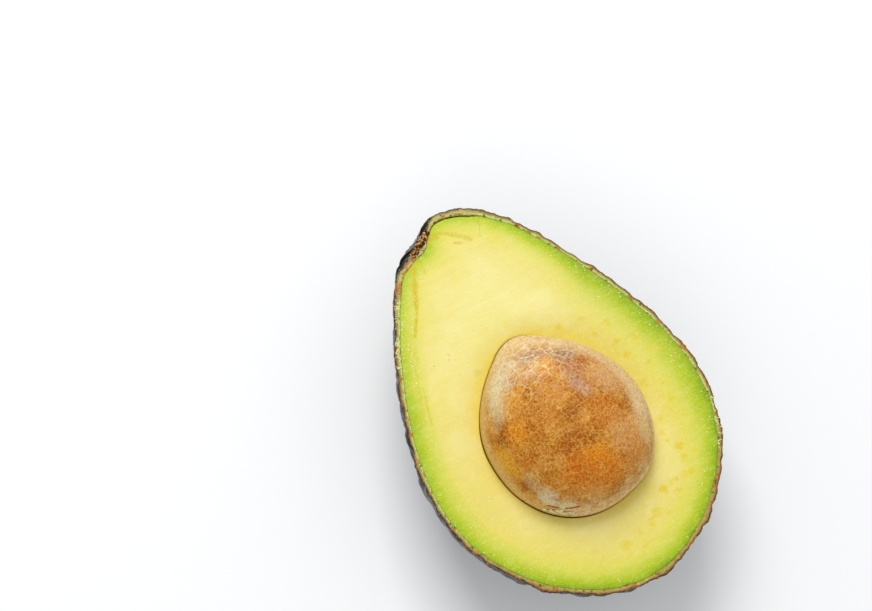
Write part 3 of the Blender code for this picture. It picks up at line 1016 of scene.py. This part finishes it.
def toned_material(name, tone_size, stops, shine, relief_size=None):
    """A material whose tone changes over tone_size, in metres, and which may have a faint relief."""
    made, add, place = start_material(name)
    tone = add(NOISE, {"Vector": place, "Scale": 1.0 / tone_size, "Detail": 2.0})
    colour = add(RAMP, (tone,), stops=stops)
    if relief_size:
        relief = add(NOISE, {"Vector": place, "Scale": 1.0 / relief_size, "Detail": 1.0})
        relief = add(BUMP, {"Height": relief, "Distance": FAINT_RELIEF, "Strength": 0.6})
        shine = {**shine, "Normal": relief}
    return end_material(made, add, colour, (), shine)


# Lenticels, corky pores of the skin: matt and tan to orange, each a little different
def lenticel_material(settings):
    stops = ((0.35, "74361C"), (0.50, settings.lenticel), (0.65, "D29C54"))
    return toned_material("corky_lenticels", 0.002, stops, {"Roughness": 0.65, "IOR": 1.45}, 0.0003)


# Beads of water and oil on the cut, fresh from the knife: clear in life, here an opaque near-white cream with a
# high gloss, a painted glint that shows as pale bright points
def moisture_bead_glint_material(settings):
    stops = ((0.40, "F2EC9E"), (0.60, settings.bead))
    return toned_material("moisture_beads_painted_glint", 0.006, stops, {"Roughness": 0.12, "IOR": 1.38})


# Shreds of peel and flesh that the knife pulled up along the rim: pale, moist and a little green, their palest
# tone the beads' painted glint colour
def shred_material(settings):
    stops = ((0.38, "8E8038"), (0.50, "D8DC8C"), (0.62, settings.bead))
    return toned_material("torn_rim_shreds", 0.0016, stops, {"Roughness": 0.4, "IOR": 1.40})


# Painted board, rolled matt white: it throws back soft light and takes a faint shadow
def floor_material(settings):
    made, add, place = start_material("matt_white_board")
    tone = add(NOISE, {"Vector": place, "Scale": 1.0 / 0.05, "Detail": 2.0})
    gloss = add(MAP_RANGE, (tone, 0.0, 1.0, 0.75, 0.85))
    return end_material(made, add, settings.floor, (), {"Roughness": gloss, "IOR": 1.3})


def scatter_tree():
    """Geometry Nodes that put domes on a surface, at random places where its attribute share lets them, each
    turned to the surface, with small domes more common than large ones."""
    tree = bpy.data.node_groups.new("Scatter domes", "GeometryNodeTree")
    add = partial(add_node, tree)
    tree.interface.new_socket("Surface", in_out="INPUT", socket_type="NodeSocketGeometry")
    for name, kind in SCATTER_INPUTS:
        tree.interface.new_socket(name, in_out="INPUT", socket_type=kind)
    tree.interface.new_socket("Domes", in_out="OUTPUT", socket_type="NodeSocketGeometry")
    given = tree.nodes.new("NodeGroupInput").outputs

    share = add("GeometryNodeInputNamedAttribute", {"Name": "share"}, data_type="FLOAT")
    points = add("GeometryNodeDistributePointsOnFaces", {
        "Mesh": given["Surface"], "Seed": given["Seed"],
    }, distribute_method="POISSON")
    spread = points.node
    for name, value in (("Distance Min", given["Spacing"]), ("Density Factor", share)):
        tree.links.new(value, spread.inputs[name])
    spread.inputs["Density Max"].default_value = SCATTER_DENSITY

    draw = add("FunctionNodeRandomValue", {"Seed": given["Seed"]}, out=1, data_type="FLOAT")
    draw = add(MATH, (draw, SMALL_ONES_FAVOUR), operation="POWER")
    radius = add(MAP_RANGE, (draw, 0.0, 1.0, given["Smallest radius"], given["Largest radius"]))
    length = add(MATH, (radius, given["Length share"]), operation="MULTIPLY")
    height = add(MATH, (radius, given["Height share"]), operation="MULTIPLY")
    size = add("ShaderNodeCombineXYZ", (length, radius, height))
    dome = add("GeometryNodeMeshUVSphere", {"Segments": DOME_SEGMENTS, "Rings": DOME_RINGS, "Radius": 1.0})
    domes = add("GeometryNodeInstanceOnPoints", {
        "Points": points, "Instance": dome, "Rotation": spread.outputs["Rotation"], "Scale": size,
    })
    twist = add("FunctionNodeRandomValue", {
        "Min": (0.0, 0.0, 0.0), "Max": (0.0, 0.0, 2.0 * math.pi), "Seed": given["Seed"],
    }, data_type="FLOAT_VECTOR")
    domes = add("GeometryNodeRotateInstances", {"Instances": domes, "Rotation": twist})
    domes = add("GeometryNodeRealizeInstances", {"Geometry": domes})
    domes = add("GeometryNodeSetMaterial", {"Geometry": domes, "Material": given["Material"]})
    add("NodeGroupOutput", {"Domes": domes})
    return tree


def scatter(name, surface, shares, sizes, material):
    """A new piece of domes scattered on a mesh. shares holds how thickly, from 0 to 1, for each of its points,
    and sizes the inputs of the Geometry Nodes from the spacing to the seed."""
    surface = surface.copy()
    store(surface, "share", shares)
    host = linked(name + "_surface", surface)
    modifier = host.modifiers.new("Scatter", "NODES")
    modifier.node_group = bpy.data.node_groups.get("Scatter domes") or scatter_tree()
    values = {input_name: value for (input_name, _), value in zip(SCATTER_INPUTS, (*sizes, material))}
    for item in modifier.node_group.interface.items_tree:
        if item.in_out == "INPUT" and item.name in values:
            modifier[item.identifier] = values[item.name]
    graph = bpy.context.evaluated_depsgraph_get()
    mesh = bpy.data.meshes.new_from_object(host.evaluated_get(graph))
    bpy.data.objects.remove(host)
    if not mesh.polygons:
        raise RuntimeError(f"{name}: nothing was scattered")
    mesh.name = name
    mesh.shade_smooth()
    return add_object(name, mesh, material)


def peel_mesh(settings):
    """The peel as one closed wall: its skin, its cut edge and its lining. across_edge runs from 0 at the skin
    to 1 at the flesh on the cut edge, and is the depth below the knife in millimetres, as less than 0, on the
    skin. pebble is the skin's height, as a share of a pebble."""
    bm = lower_half(SKIN_SQUARES)
    across_edge = bm.verts.layers.float.new("across_edge")
    pebble = bm.verts.layers.float.new("pebble")
    opened = bm.verts.layers.float.new("opened")
    skin_ring = open_edge(bm, RIM_POINTS)
    for vert in bm.verts:
        vert[opened] = torn_open(turn_of(vert.co))
        vert.co, vert[pebble] = skin_point(vert.co.copy(), settings)
        vert[across_edge] = vert.co.z * 1000.0 - SKIN_ACROSS
    for vert in skin_ring:
        vert[across_edge] = 0.0

    last = skin_ring
    rims = []
    for turn, vert in zip(rim_turns(), skin_ring):
        direction = unit_direction(turn, 0.0)
        drop = rim_drop(math.degrees(turn), 0.0)
        inner = lining_point(direction, rim_inset(direction))
        roll = stretch(math.degrees(turn), SKIN_ROLL)
        rims.append((vert.co.copy(), inner, drop, roll))
        vert.co.z += PEEL_EDGE[0][1] - SKIN_ROLL_DROP * roll
        vert[across_edge] = -SKIN_ROLL_SHARE * roll
    for share, height in PEEL_EDGE[1:]:
        ring = []
        for outer, inner, drop, roll in rims:
            point = outer.lerp(inner, share)
            rough = noise.fractal(point / PEEL_EDGE_GRAIN, 1.0, 2.0, 3) * PEEL_EDGE_ROUGHNESS
            unrolled = max(1.0 - share / SKIN_ROLL_SHARE, 0.0) ** 2 * roll
            point.z = height + rough * math.sin(math.pi * share) - drop - SKIN_ROLL_DROP * unrolled
            ring.append(bm.verts.new(point))
            ring[-1][across_edge] = share - (1.0 - share) * SKIN_ROLL_SHARE * 2.0 * roll
            ring[-1][opened] = skin_ring[len(ring) - 1][opened]
        bridge(bm, last, ring)
        last = ring

    # Down inside, out of sight under the flesh, the lining is coarser: one square to several of the rim's
    wall = []
    for turn in rim_turns():
        direction = unit_direction(turn, WALL_RISE)
        wall.append(bm.verts.new(lining_point(direction, rim_inset(unit_direction(turn, 0.0)))))
        wall[-1][across_edge] = 1.0
    bridge(bm, last, wall)
    lining = lower_half(LINING_SQUARES)
    lining_ring = open_edge(lining, 4 * LINING_SQUARES)
    copies = {}
    for vert in lining.verts:
        direction = vert.co.copy()
        if vert in lining_ring:
            direction = unit_direction(math.atan2(direction.y, direction.x), LINING_RISE)
        copies[vert] = bm.verts.new(lining_point(direction, PEEL_THICKNESS))
        copies[vert][across_edge] = 1.0
    for face in lining.faces:
        bm.faces.new([copies[vert] for vert in face.verts])
    lining_ring = [copies[vert] for vert in lining_ring]
    lining.free()
    step = RIM_POINTS // len(lining_ring)
    for number, vert in enumerate(lining_ring):
        after = (number + 1) % len(lining_ring)
        upper = [wall[(number * step + part) % RIM_POINTS] for part in range(step + 1)]
        bm.faces.new([*upper, lining_ring[after], vert])
    bmesh.ops.recalc_face_normals(bm, faces=bm.faces)
    return mesh_from(bm, "peel_skin")


def hollow_clearance(turn_degrees):
    """The flesh holds the stone closely, and has shrunk from it a little on one side."""
    at_top = HOLLOW_GAP_TOP_SHARE * stretch(turn_degrees, HOLLOW_GAP_TOP)
    gap = max(stretch(turn_degrees, HOLLOW_GAP_SIDE), at_top)
    return HOLLOW_CLEARANCE + HOLLOW_GAP * gap


def face_height(point, turn_degrees, from_peel, from_stone):
    """How far a point of the cut face is over the knife's plane."""
    across = (point.x - STONE_CENTRE.x) / SPOON.x
    along = (point.y - STONE_CENTRE.y) / SPOON.y
    dip = SPOON_HEIGHT - SPOON.z * math.sqrt(max(1.0 - across * across - along * along, 0.0))
    height = dip - soft_positive(dip, SPOON_SOFTNESS)
    lack = max(1.0 - from_stone / HOLLOW_ROUNDING, 0.0)
    height -= HOLLOW_ROUNDING * (1.0 - math.sqrt(1.0 - lack * lack))
    height -= PEEL_ROLL * math.exp(-from_peel / PEEL_ROLL_REACH)
    height -= rim_drop(turn_degrees, from_peel)
    height -= FURROW_DEPTH * math.exp(-((from_peel / FURROW_WIDTH) ** 2)) * stretch(turn_degrees, FURROW)
    height += WAVE_HEIGHT * noise.noise(point / WAVE_SIZE)
    comb = Vector((point.x / KNIFE_LENGTH, point.y / KNIFE_SPACING, 0.0))
    return height + KNIFE_HEIGHT * noise.noise(comb)


def flesh_mesh():
    """The flesh as one closed surface of rings: up the hollow's wall, out over the cut face, and down the
    outside. Its attributes hold where on the cut a point is, for its colours."""
    turns = rim_turns()
    inner = [stone_point(unit_direction(turn, 0.0), hollow_clearance(math.degrees(turn))) for turn in turns]
    outer = []
    for turn in turns:
        direction = unit_direction(turn, 0.0)
        outer.append(lining_point(direction, rim_inset(direction) + SEAM))
    outline = np.array([point.xy for point in outer])
    hollow_line = np.array([point.xy for point in inner])

    rings = []
    depths = []
    for number in range(HOLLOW_RINGS):
        rise = -math.pi / 2.0 + (math.pi / 2.0 + HOLLOW_RISE) * (number + 1) / HOLLOW_RINGS
        ring = [stone_point(unit_direction(turn, rise), hollow_clearance(math.degrees(turn))) for turn in turns]
        rings.append(ring)
        depths.append(np.ones(RIM_POINTS))
    for number in range(FACE_RINGS + 1):
        even = number / FACE_RINGS
        share = (even + (1.0 - math.cos(math.pi * even)) / 2.0) / 2.0
        ring = [start.lerp(end, share) for start, end in zip(inner, outer)]
        flat = np.array([point.xy for point in ring])
        from_peel = np.min(np.linalg.norm(flat[:, None, :] - outline[None, ::2, :], axis=2), axis=1)
        from_stone = np.min(np.linalg.norm(flat[:, None, :] - hollow_line[None, ::2, :], axis=2), axis=1)
        if number == FACE_RINGS:
            from_peel[:] = 0.0
        if number == 0:
            from_stone[:] = 0.0
        for turn, point, peel_gap, stone_gap in zip(turns, ring, from_peel, from_stone):
            point.z = face_height(point, math.degrees(turn), peel_gap, stone_gap)
        rings.append(ring)
        depths.append(from_peel)
    for number in range(OUTSIDE_RINGS):
        rise = OUTSIDE_RISE - (math.pi / 2.0 + OUTSIDE_RISE) * number / OUTSIDE_RINGS
        ring = []
        for turn in turns:
            inset = rim_inset(unit_direction(turn, 0.0)) + SEAM
            ring.append(lining_point(unit_direction(turn, rise), inset))
        rings.append(ring)
        depths.append(np.zeros(RIM_POINTS))

    top = stone_point(Vector((0.0, 0.0, -1.0)), HOLLOW_CLEARANCE)
    bottom = lining_point(Vector((0.0, 0.0, -1.0)), PEEL_THICKNESS + SEAM)
    points = [top, *[point for ring in rings for point in ring], bottom]
    faces = []
    for number in range(RIM_POINTS):
        after = (number + 1) % RIM_POINTS
        faces.append((0, 1 + number, 1 + after))
        for ring in range(len(rings) - 1):
            low = 1 + ring * RIM_POINTS
            high = low + RIM_POINTS
            faces.append((low + number, high + number, high + after, low + after))
        last = 1 + (len(rings) - 1) * RIM_POINTS
        faces.append((last + number, len(points) - 1, last + after))
    mesh = bpy.data.meshes.new("flesh_cut")
    mesh.from_pydata([(*point.xy, point.z + CUT_HEIGHT) for point in points], [], faces)
    mesh.shade_smooth()
    colour_places(mesh, points, np.concatenate([[1.0], *depths, [0.0]]))
    return mesh


def colour_places(mesh, points, from_peel):
    """Stores where the flesh's colours change: green_depth, creamy, by_stone, fleck_zone, furrow and
    bead_share."""
    flat = np.array([point.xy for point in points])
    turns = [egg_turn(x, y) for x, y in flat]
    pale, left, right, torn, bruised, veined = (
        np.array([stretch(turn, window) for turn in turns])
        for window in (PALE_END, LEFT_SIDE, RIGHT_SIDE, LEFT_TORN, FURROW, FLECK_TURNS)
    )
    factor = 1.0 + NARROWER_END * pale - WIDER_RIGHT * right - WIDER_LEFT * left
    inside = soft_step(np.clip((from_peel - FACET_WIDTH + FACET_EDGE) / FACET_EDGE_WIDTH, 0.0, 1.0))
    depth = from_peel * factor + END_SHIFT * pale + (LEFT_SHIFT + LEFT_INNER_SHIFT * inside) * left
    deep = np.clip((from_peel - CREAMY_DEPTH) / CREAMY_DEPTH_WIDTH, 0.0, 1.0)
    cream_and_painted_light = np.clip((flat[:, 1] - CREAM_PAINTED_LIGHT_FROM) / (CREAM_PAINTED_LIGHT_TO - CREAM_PAINTED_LIGHT_FROM), 0.0, 1.0) * deep
    middle = np.array(STONE_CENTRE.xy)
    reach = np.linalg.norm((flat - middle) / (STONE_HALF_WIDTH, STONE_HALF_LENGTH), axis=1)
    by_stone = np.exp(-np.maximum(reach - 1.0, 0.0) / BY_STONE_REACH) * BY_STONE_SHARE
    zone = veined * [stretch(gap * 1000.0, [1000.0 * value for value in FLECK_DEPTHS]) for gap in from_peel]
    furrow = np.clip((FURROW_ELSEWHERE + bruised) * np.exp(-((from_peel / FURROW_WIDTH) ** 2)), 0.0, 1.0)

    near_rim = np.exp(-from_peel / BEAD_RIM_REACH)
    damp = np.exp(-((np.linalg.norm(flat - np.array(DAMP_PATCH), axis=1) / DAMP_PATCH_RADIUS) ** 2))
    bead_share = BEAD_FLOOR + (left + right) * near_rim * BEAD_RIM + damp * BEAD_DAMP
    bead_share += torn * np.exp(-from_peel / BEAD_TORN_REACH) * BEAD_TORN
    bead_share[(from_peel < BEAD_PEEL_GAP) | (reach < BEAD_STONE_GAP)] = 0.0
    bead_share[np.array([point.z for point in points]) < BEAD_LOWEST] = 0.0
    for name, values in (
        ("green_depth", depth / GREEN_REACH), ("cream_and_painted_light", cream_and_painted_light), ("by_stone", by_stone), ("fleck_zone", zone),
        ("furrow", furrow), ("bead_share", bead_share),
    ):
        store(mesh, name, values)


def stone_mesh():
    bm = even_sphere(STONE_SQUARES)
    pale = bm.verts.layers.float.new("pale_rim")
    for vert in bm.verts:
        turn = turn_of(vert.co)
        start = PALE_RIM_RISE + PALE_RIGHT_RISE * stretch(turn, PALE_RIGHT)
        lowness = min(max((start - vert.co.z) / PALE_RIM_FADE, 0.0), 1.0)
        vert[pale] = lowness * stretch(turn, PALE_RIM)
        vert.co = stone_point(vert.co.copy(), 0.0)
    return mesh_from(bm, "stone_coat")


def torn_coat_mesh():
    """A thin ragged strip of the coat that stands away from the stone along its upper edge."""
    middle, bend, end = (Vector((x, y, 0.0)) for x, y in COAT_TEAR)
    bm = bmesh.new()
    rings = []
    for number in range(COAT_TEAR_STEPS + 1):
        share = number / COAT_TEAR_STEPS
        place = middle.lerp(bend, share).lerp(bend.lerp(end, share), share)
        uphill = -place.normalized()
        swell = math.sqrt(math.sin(math.pi * share) + 0.001)
        upper, lower, lift = (
            size * swell * (even + ragged * noise.noise(Vector((share * teeth, draw, 0.0))))
            for size, even, ragged, teeth, draw in COAT_TEAR_EDGES
        )
        foot = on_stone(place - uphill * lower, 0.0)
        mid = on_stone(place, lift * 0.5)
        tip = on_stone(place + uphill * upper, lift)
        ring = []
        for point, raise_by in ((foot, 0.0), (mid, 0.0), (tip, 0.0), (tip, 1.0), (mid, 1.0), (foot, 1.0)):
            outward = (point - STONE_CENTRE).normalized()
            ring.append(bm.verts.new(point + outward * COAT_THICKNESS * raise_by))
        rings.append(ring)
    for first, second in zip(rings, rings[1:]):
        bridge(bm, first, second)
    bm.faces.new(rings[0])
    bm.faces.new(rings[-1])
    bmesh.ops.recalc_face_normals(bm, faces=bm.faces)
    return mesh_from(bm, "torn_coat")


def cork_mesh():
    """Half a crumbly disc in the dimple, cut through by the knife along its middle."""
    outward = egg_normal(STEM_DIRECTION)
    along = Vector((0.0, 0.0, 1.0)).cross(outward)
    centre = STEM_PLACE + outward * ((CORK_PROUD - CORK_ROOT) / 2.0 - DIMPLE_DEPTH)
    half_depth = (CORK_ROOT + CORK_PROUD) / 2.0 * CORK_SHRINKAGE
    bm = even_sphere(CORK_SQUARES)
    for vert in bm.verts:
        x, y, z = vert.co
        ring = math.hypot(x, z)
        size = (ring ** CORK_SQUARENESS + abs(y) ** CORK_SQUARENESS) ** (-1.0 / CORK_SQUARENESS)
        z *= CORK_CROWN if z > 0.0 else 1.0
        flat = (along * x + Vector((0.0, 0.0, z))) * CORK_RADIUS
        point = centre + (flat + outward * y * half_depth) * size
        crumble = CORK_ROUGHNESS * noise.fractal(point / CORK_GRAIN, 1.0, 2.0, 3)
        vert.co = point + (point - centre).normalized() * crumble
    bmesh.ops.recalc_face_normals(bm, faces=bm.faces)
    return mesh_from(bm, "stem_cork")


def finish_piece(piece, slot, *nodes):
    """The piece moves with the fruit, and may stand for nodes, whose parts it hides. slot is not used."""
    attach(piece, "root")
    if nodes:
        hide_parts(*nodes)


class AVOCADO_OT_peel(bpy.types.Operator):
    """Build the pebbled peel with its cut edge, the corky dots on its skin and the shreds on its rim"""

    bl_idname = "avocado.peel"
    bl_label = "Peel"

    def execute(self, context):
        settings = context.scene.avocado_peel
        seed = context.scene.avocado_stage.seed
        mesh = peel_mesh(settings)
        peel = add_object("peel_skin", mesh, skin_material(settings))
        across = stored(mesh, "across_edge")
        clear = [v.co.z > LENTICEL_CLEARANCE for v in mesh.vertices]
        crowd = np.array([noise.noise(v.co / LENTICEL_CROWD_SIZE) for v in mesh.vertices])
        crowd = LENTICEL_SHARE * np.clip(LENTICEL_CROWD[0] + LENTICEL_CROWD[1] * crowd, *LENTICEL_CROWD_LIMITS)
        dots = scatter("lenticels", mesh, np.where((across < LENTICEL_BELOW) & clear, crowd, 0.0), (
            settings.lenticel_spacing, settings.lenticel_smallest, settings.lenticel_largest,
            *LENTICEL_SHAPE, seed,
        ), lenticel_material(settings))
        turns = [egg_turn(v.co.x, v.co.y) for v in mesh.vertices]
        torn = np.array([max(stretch(turn, RIGHT_TORN), stretch(turn, LEFT_TORN)) for turn in turns])
        torn = np.where((across > SHRED_FROM) & (across < 1.0), torn, 0.0)
        shreds = scatter(
            "rim_shreds", mesh, torn * SHRED_SHARE, (SHRED_SPACING, *SHRED_RADII, *SHRED_SHAPE, seed + 1),
            shred_material(context.scene.avocado_flesh),
        )
        finish_piece(peel, "peel", "peel")
        finish_piece(dots, "cork")
        finish_piece(shreds, "flesh")
        return {"FINISHED"}


class AVOCADO_OT_flesh(bpy.types.Operator):
    """Build the flesh with its cut face and the stone's hollow, and the beads of moisture on it, coloured
    near-white as a painted glint
    """

    bl_idname = "avocado.flesh"
    bl_label = "Flesh"

    def execute(self, context):
        settings = context.scene.avocado_flesh
        seed = context.scene.avocado_stage.seed
        mesh = flesh_mesh()
        flesh = add_object("flesh_cut", mesh, flesh_material(settings))
        # The beads' near-white colour is a painted glint
        beads = scatter("moisture_beads_painted_glint", mesh, stored(mesh, "bead_share"), (
            settings.bead_spacing, settings.bead_smallest, settings.bead_largest, *BEAD_SHAPE, seed + 2,
        ), moisture_bead_glint_material(settings))
        finish_piece(flesh, "flesh", "flesh")
        finish_piece(beads, "flesh")
        return {"FINISHED"}


class AVOCADO_OT_stone(bpy.types.Operator):
    """Build the stone in its papery coat, with the coat's torn edge near its base"""

    bl_idname = "avocado.stone"
    bl_label = "Stone"

    def execute(self, context):
        settings = context.scene.avocado_stone
        stone = add_object("stone_coat", stone_mesh(), stone_material(settings))
        torn = add_object("torn_coat", torn_coat_mesh(), torn_coat_material(settings))
        finish_piece(stone, "stone", "stone")
        finish_piece(torn, "stone")
        return {"FINISHED"}


class AVOCADO_OT_cork(bpy.types.Operator):
    """Build the crumbly cork that the stem left, with its loose crumbs"""

    bl_idname = "avocado.cork"
    bl_label = "Stem cork"

    def execute(self, context):
        settings = context.scene.avocado_cork
        seed = context.scene.avocado_stage.seed
        mesh = cork_mesh()
        material = cork_material(settings)
        cork = add_object("stem_cork", mesh, material)
        shares = [1.0 if v.co.z > CUT_HEIGHT - CRUMB_DEPTH else CRUMB_SHARE_BELOW for v in mesh.vertices]
        crumbs = scatter("cork_crumbs", mesh, shares, (
            settings.crumb_spacing, settings.crumb_smallest, settings.crumb_largest, *CRUMB_SHAPE, seed + 3,
        ), material)
        finish_piece(cork, "cork", "stem_scar")
        finish_piece(crumbs, "cork")
        return {"FINISHED"}


def add_lamp(name, turn, rise, distance, size, power):
    """A square lamp that shines on the fruit from a turn round it and a rise over the horizon."""
    back = unit_direction(turn, rise)
    light = bpy.data.lights.new(name, "AREA")
    light.shape = "SQUARE"
    light.size = size
    light.energy = power
    lamp = linked(name, light)
    lamp.location = LAMP_TARGET + back * distance
    lamp.rotation_euler = back.to_track_quat("Z", "Y").to_euler()


class AVOCADO_OT_stage(bpy.types.Operator):
    """Build the pale floor, the soft light and the camera"""

    bl_idname = "avocado.stage"
    bl_label = "Stage"

    def execute(self, context):
        scene = context.scene
        settings = scene.avocado_stage
        bm = bmesh.new()
        bmesh.ops.create_grid(bm, x_segments=1, y_segments=1, size=FLOOR_HALF_SIZE)
        mesh = bpy.data.meshes.new("floor")
        bm.to_mesh(mesh)
        bm.free()
        add_object("floor", mesh, floor_material(settings))

        world = bpy.data.worlds.new("white_room")
        world.use_nodes = True
        background = world.node_tree.nodes["Background"]
        background.inputs["Color"].default_value = settings.room
        background.inputs["Strength"].default_value = settings.room_strength
        scene.world = world
        scene.view_settings.view_transform = "Standard"
        add_lamp("big_soft_lamp", LAMP_TURN, LAMP_RISE, LAMP_DISTANCE, LAMP_SIZE, settings.lamp_power)
        add_lamp("fill_lamp", FILL_TURN, FILL_RISE, FILL_DISTANCE, FILL_SIZE, settings.fill_power)

        back = unit_direction(CAMERA_TURN, CAMERA_RISE)
        right = unit_direction(PICTURE_UP, 0.0).cross(back).normalized()
        lens = bpy.data.cameras.new("camera")
        lens.lens = LENS_MM
        lens.sensor_width = SENSOR_MM
        lens.clip_start = CLIP_START
        camera = linked("camera", lens)
        axes = Matrix((right, back.cross(right), back)).transposed().to_4x4()
        camera.matrix_world = Matrix.Translation(CAMERA_TARGET + back * CAMERA_DISTANCE) @ axes
        scene.camera = camera
        return {"FINISHED"}


class AVOCADO_PT_panel(bpy.types.Panel):
    """Lists the pieces of the avocado and what can be changed on them"""

    bl_idname = "AVOCADO_PT_panel"
    bl_label = "Avocado"
    bl_space_type = "VIEW_3D"
    bl_region_type = "UI"
    bl_category = "Avocado"

    def draw(self, context):
        for operator, settings_name, _ in PIECES:
            box = self.layout.box()
            box.operator(operator.bl_idname)
            settings = getattr(context.scene, settings_name)
            for name in settings.bl_rna.properties.keys():
                if name not in ("rna_type", "name"):
                    box.prop(settings, name)


PIECES = (
    (AVOCADO_OT_stage, "avocado_stage", AvocadoStageSettings),
    (AVOCADO_OT_peel, "avocado_peel", AvocadoPeelSettings),
    (AVOCADO_OT_flesh, "avocado_flesh", AvocadoFleshSettings),
    (AVOCADO_OT_stone, "avocado_stone", AvocadoStoneSettings),
    (AVOCADO_OT_cork, "avocado_cork", AvocadoCorkSettings),
)


def register():
    for operator, settings_name, group in PIECES:
        bpy.utils.register_class(group)
        setattr(bpy.types.Scene, settings_name, PointerProperty(type=group))
        bpy.utils.register_class(operator)
    bpy.utils.register_class(AVOCADO_PT_panel)


def unregister():
    bpy.utils.unregister_class(AVOCADO_PT_panel)
    for operator, settings_name, group in reversed(PIECES):
        bpy.utils.unregister_class(operator)
        delattr(bpy.types.Scene, settings_name)
        bpy.utils.unregister_class(group)


def main():
    register()
    bpy.ops.avocado.stage()
    bpy.ops.avocado.peel()
    bpy.ops.avocado.flesh()
    bpy.ops.avocado.stone()
    bpy.ops.avocado.cork()


if __name__ == "__main__":
    main()
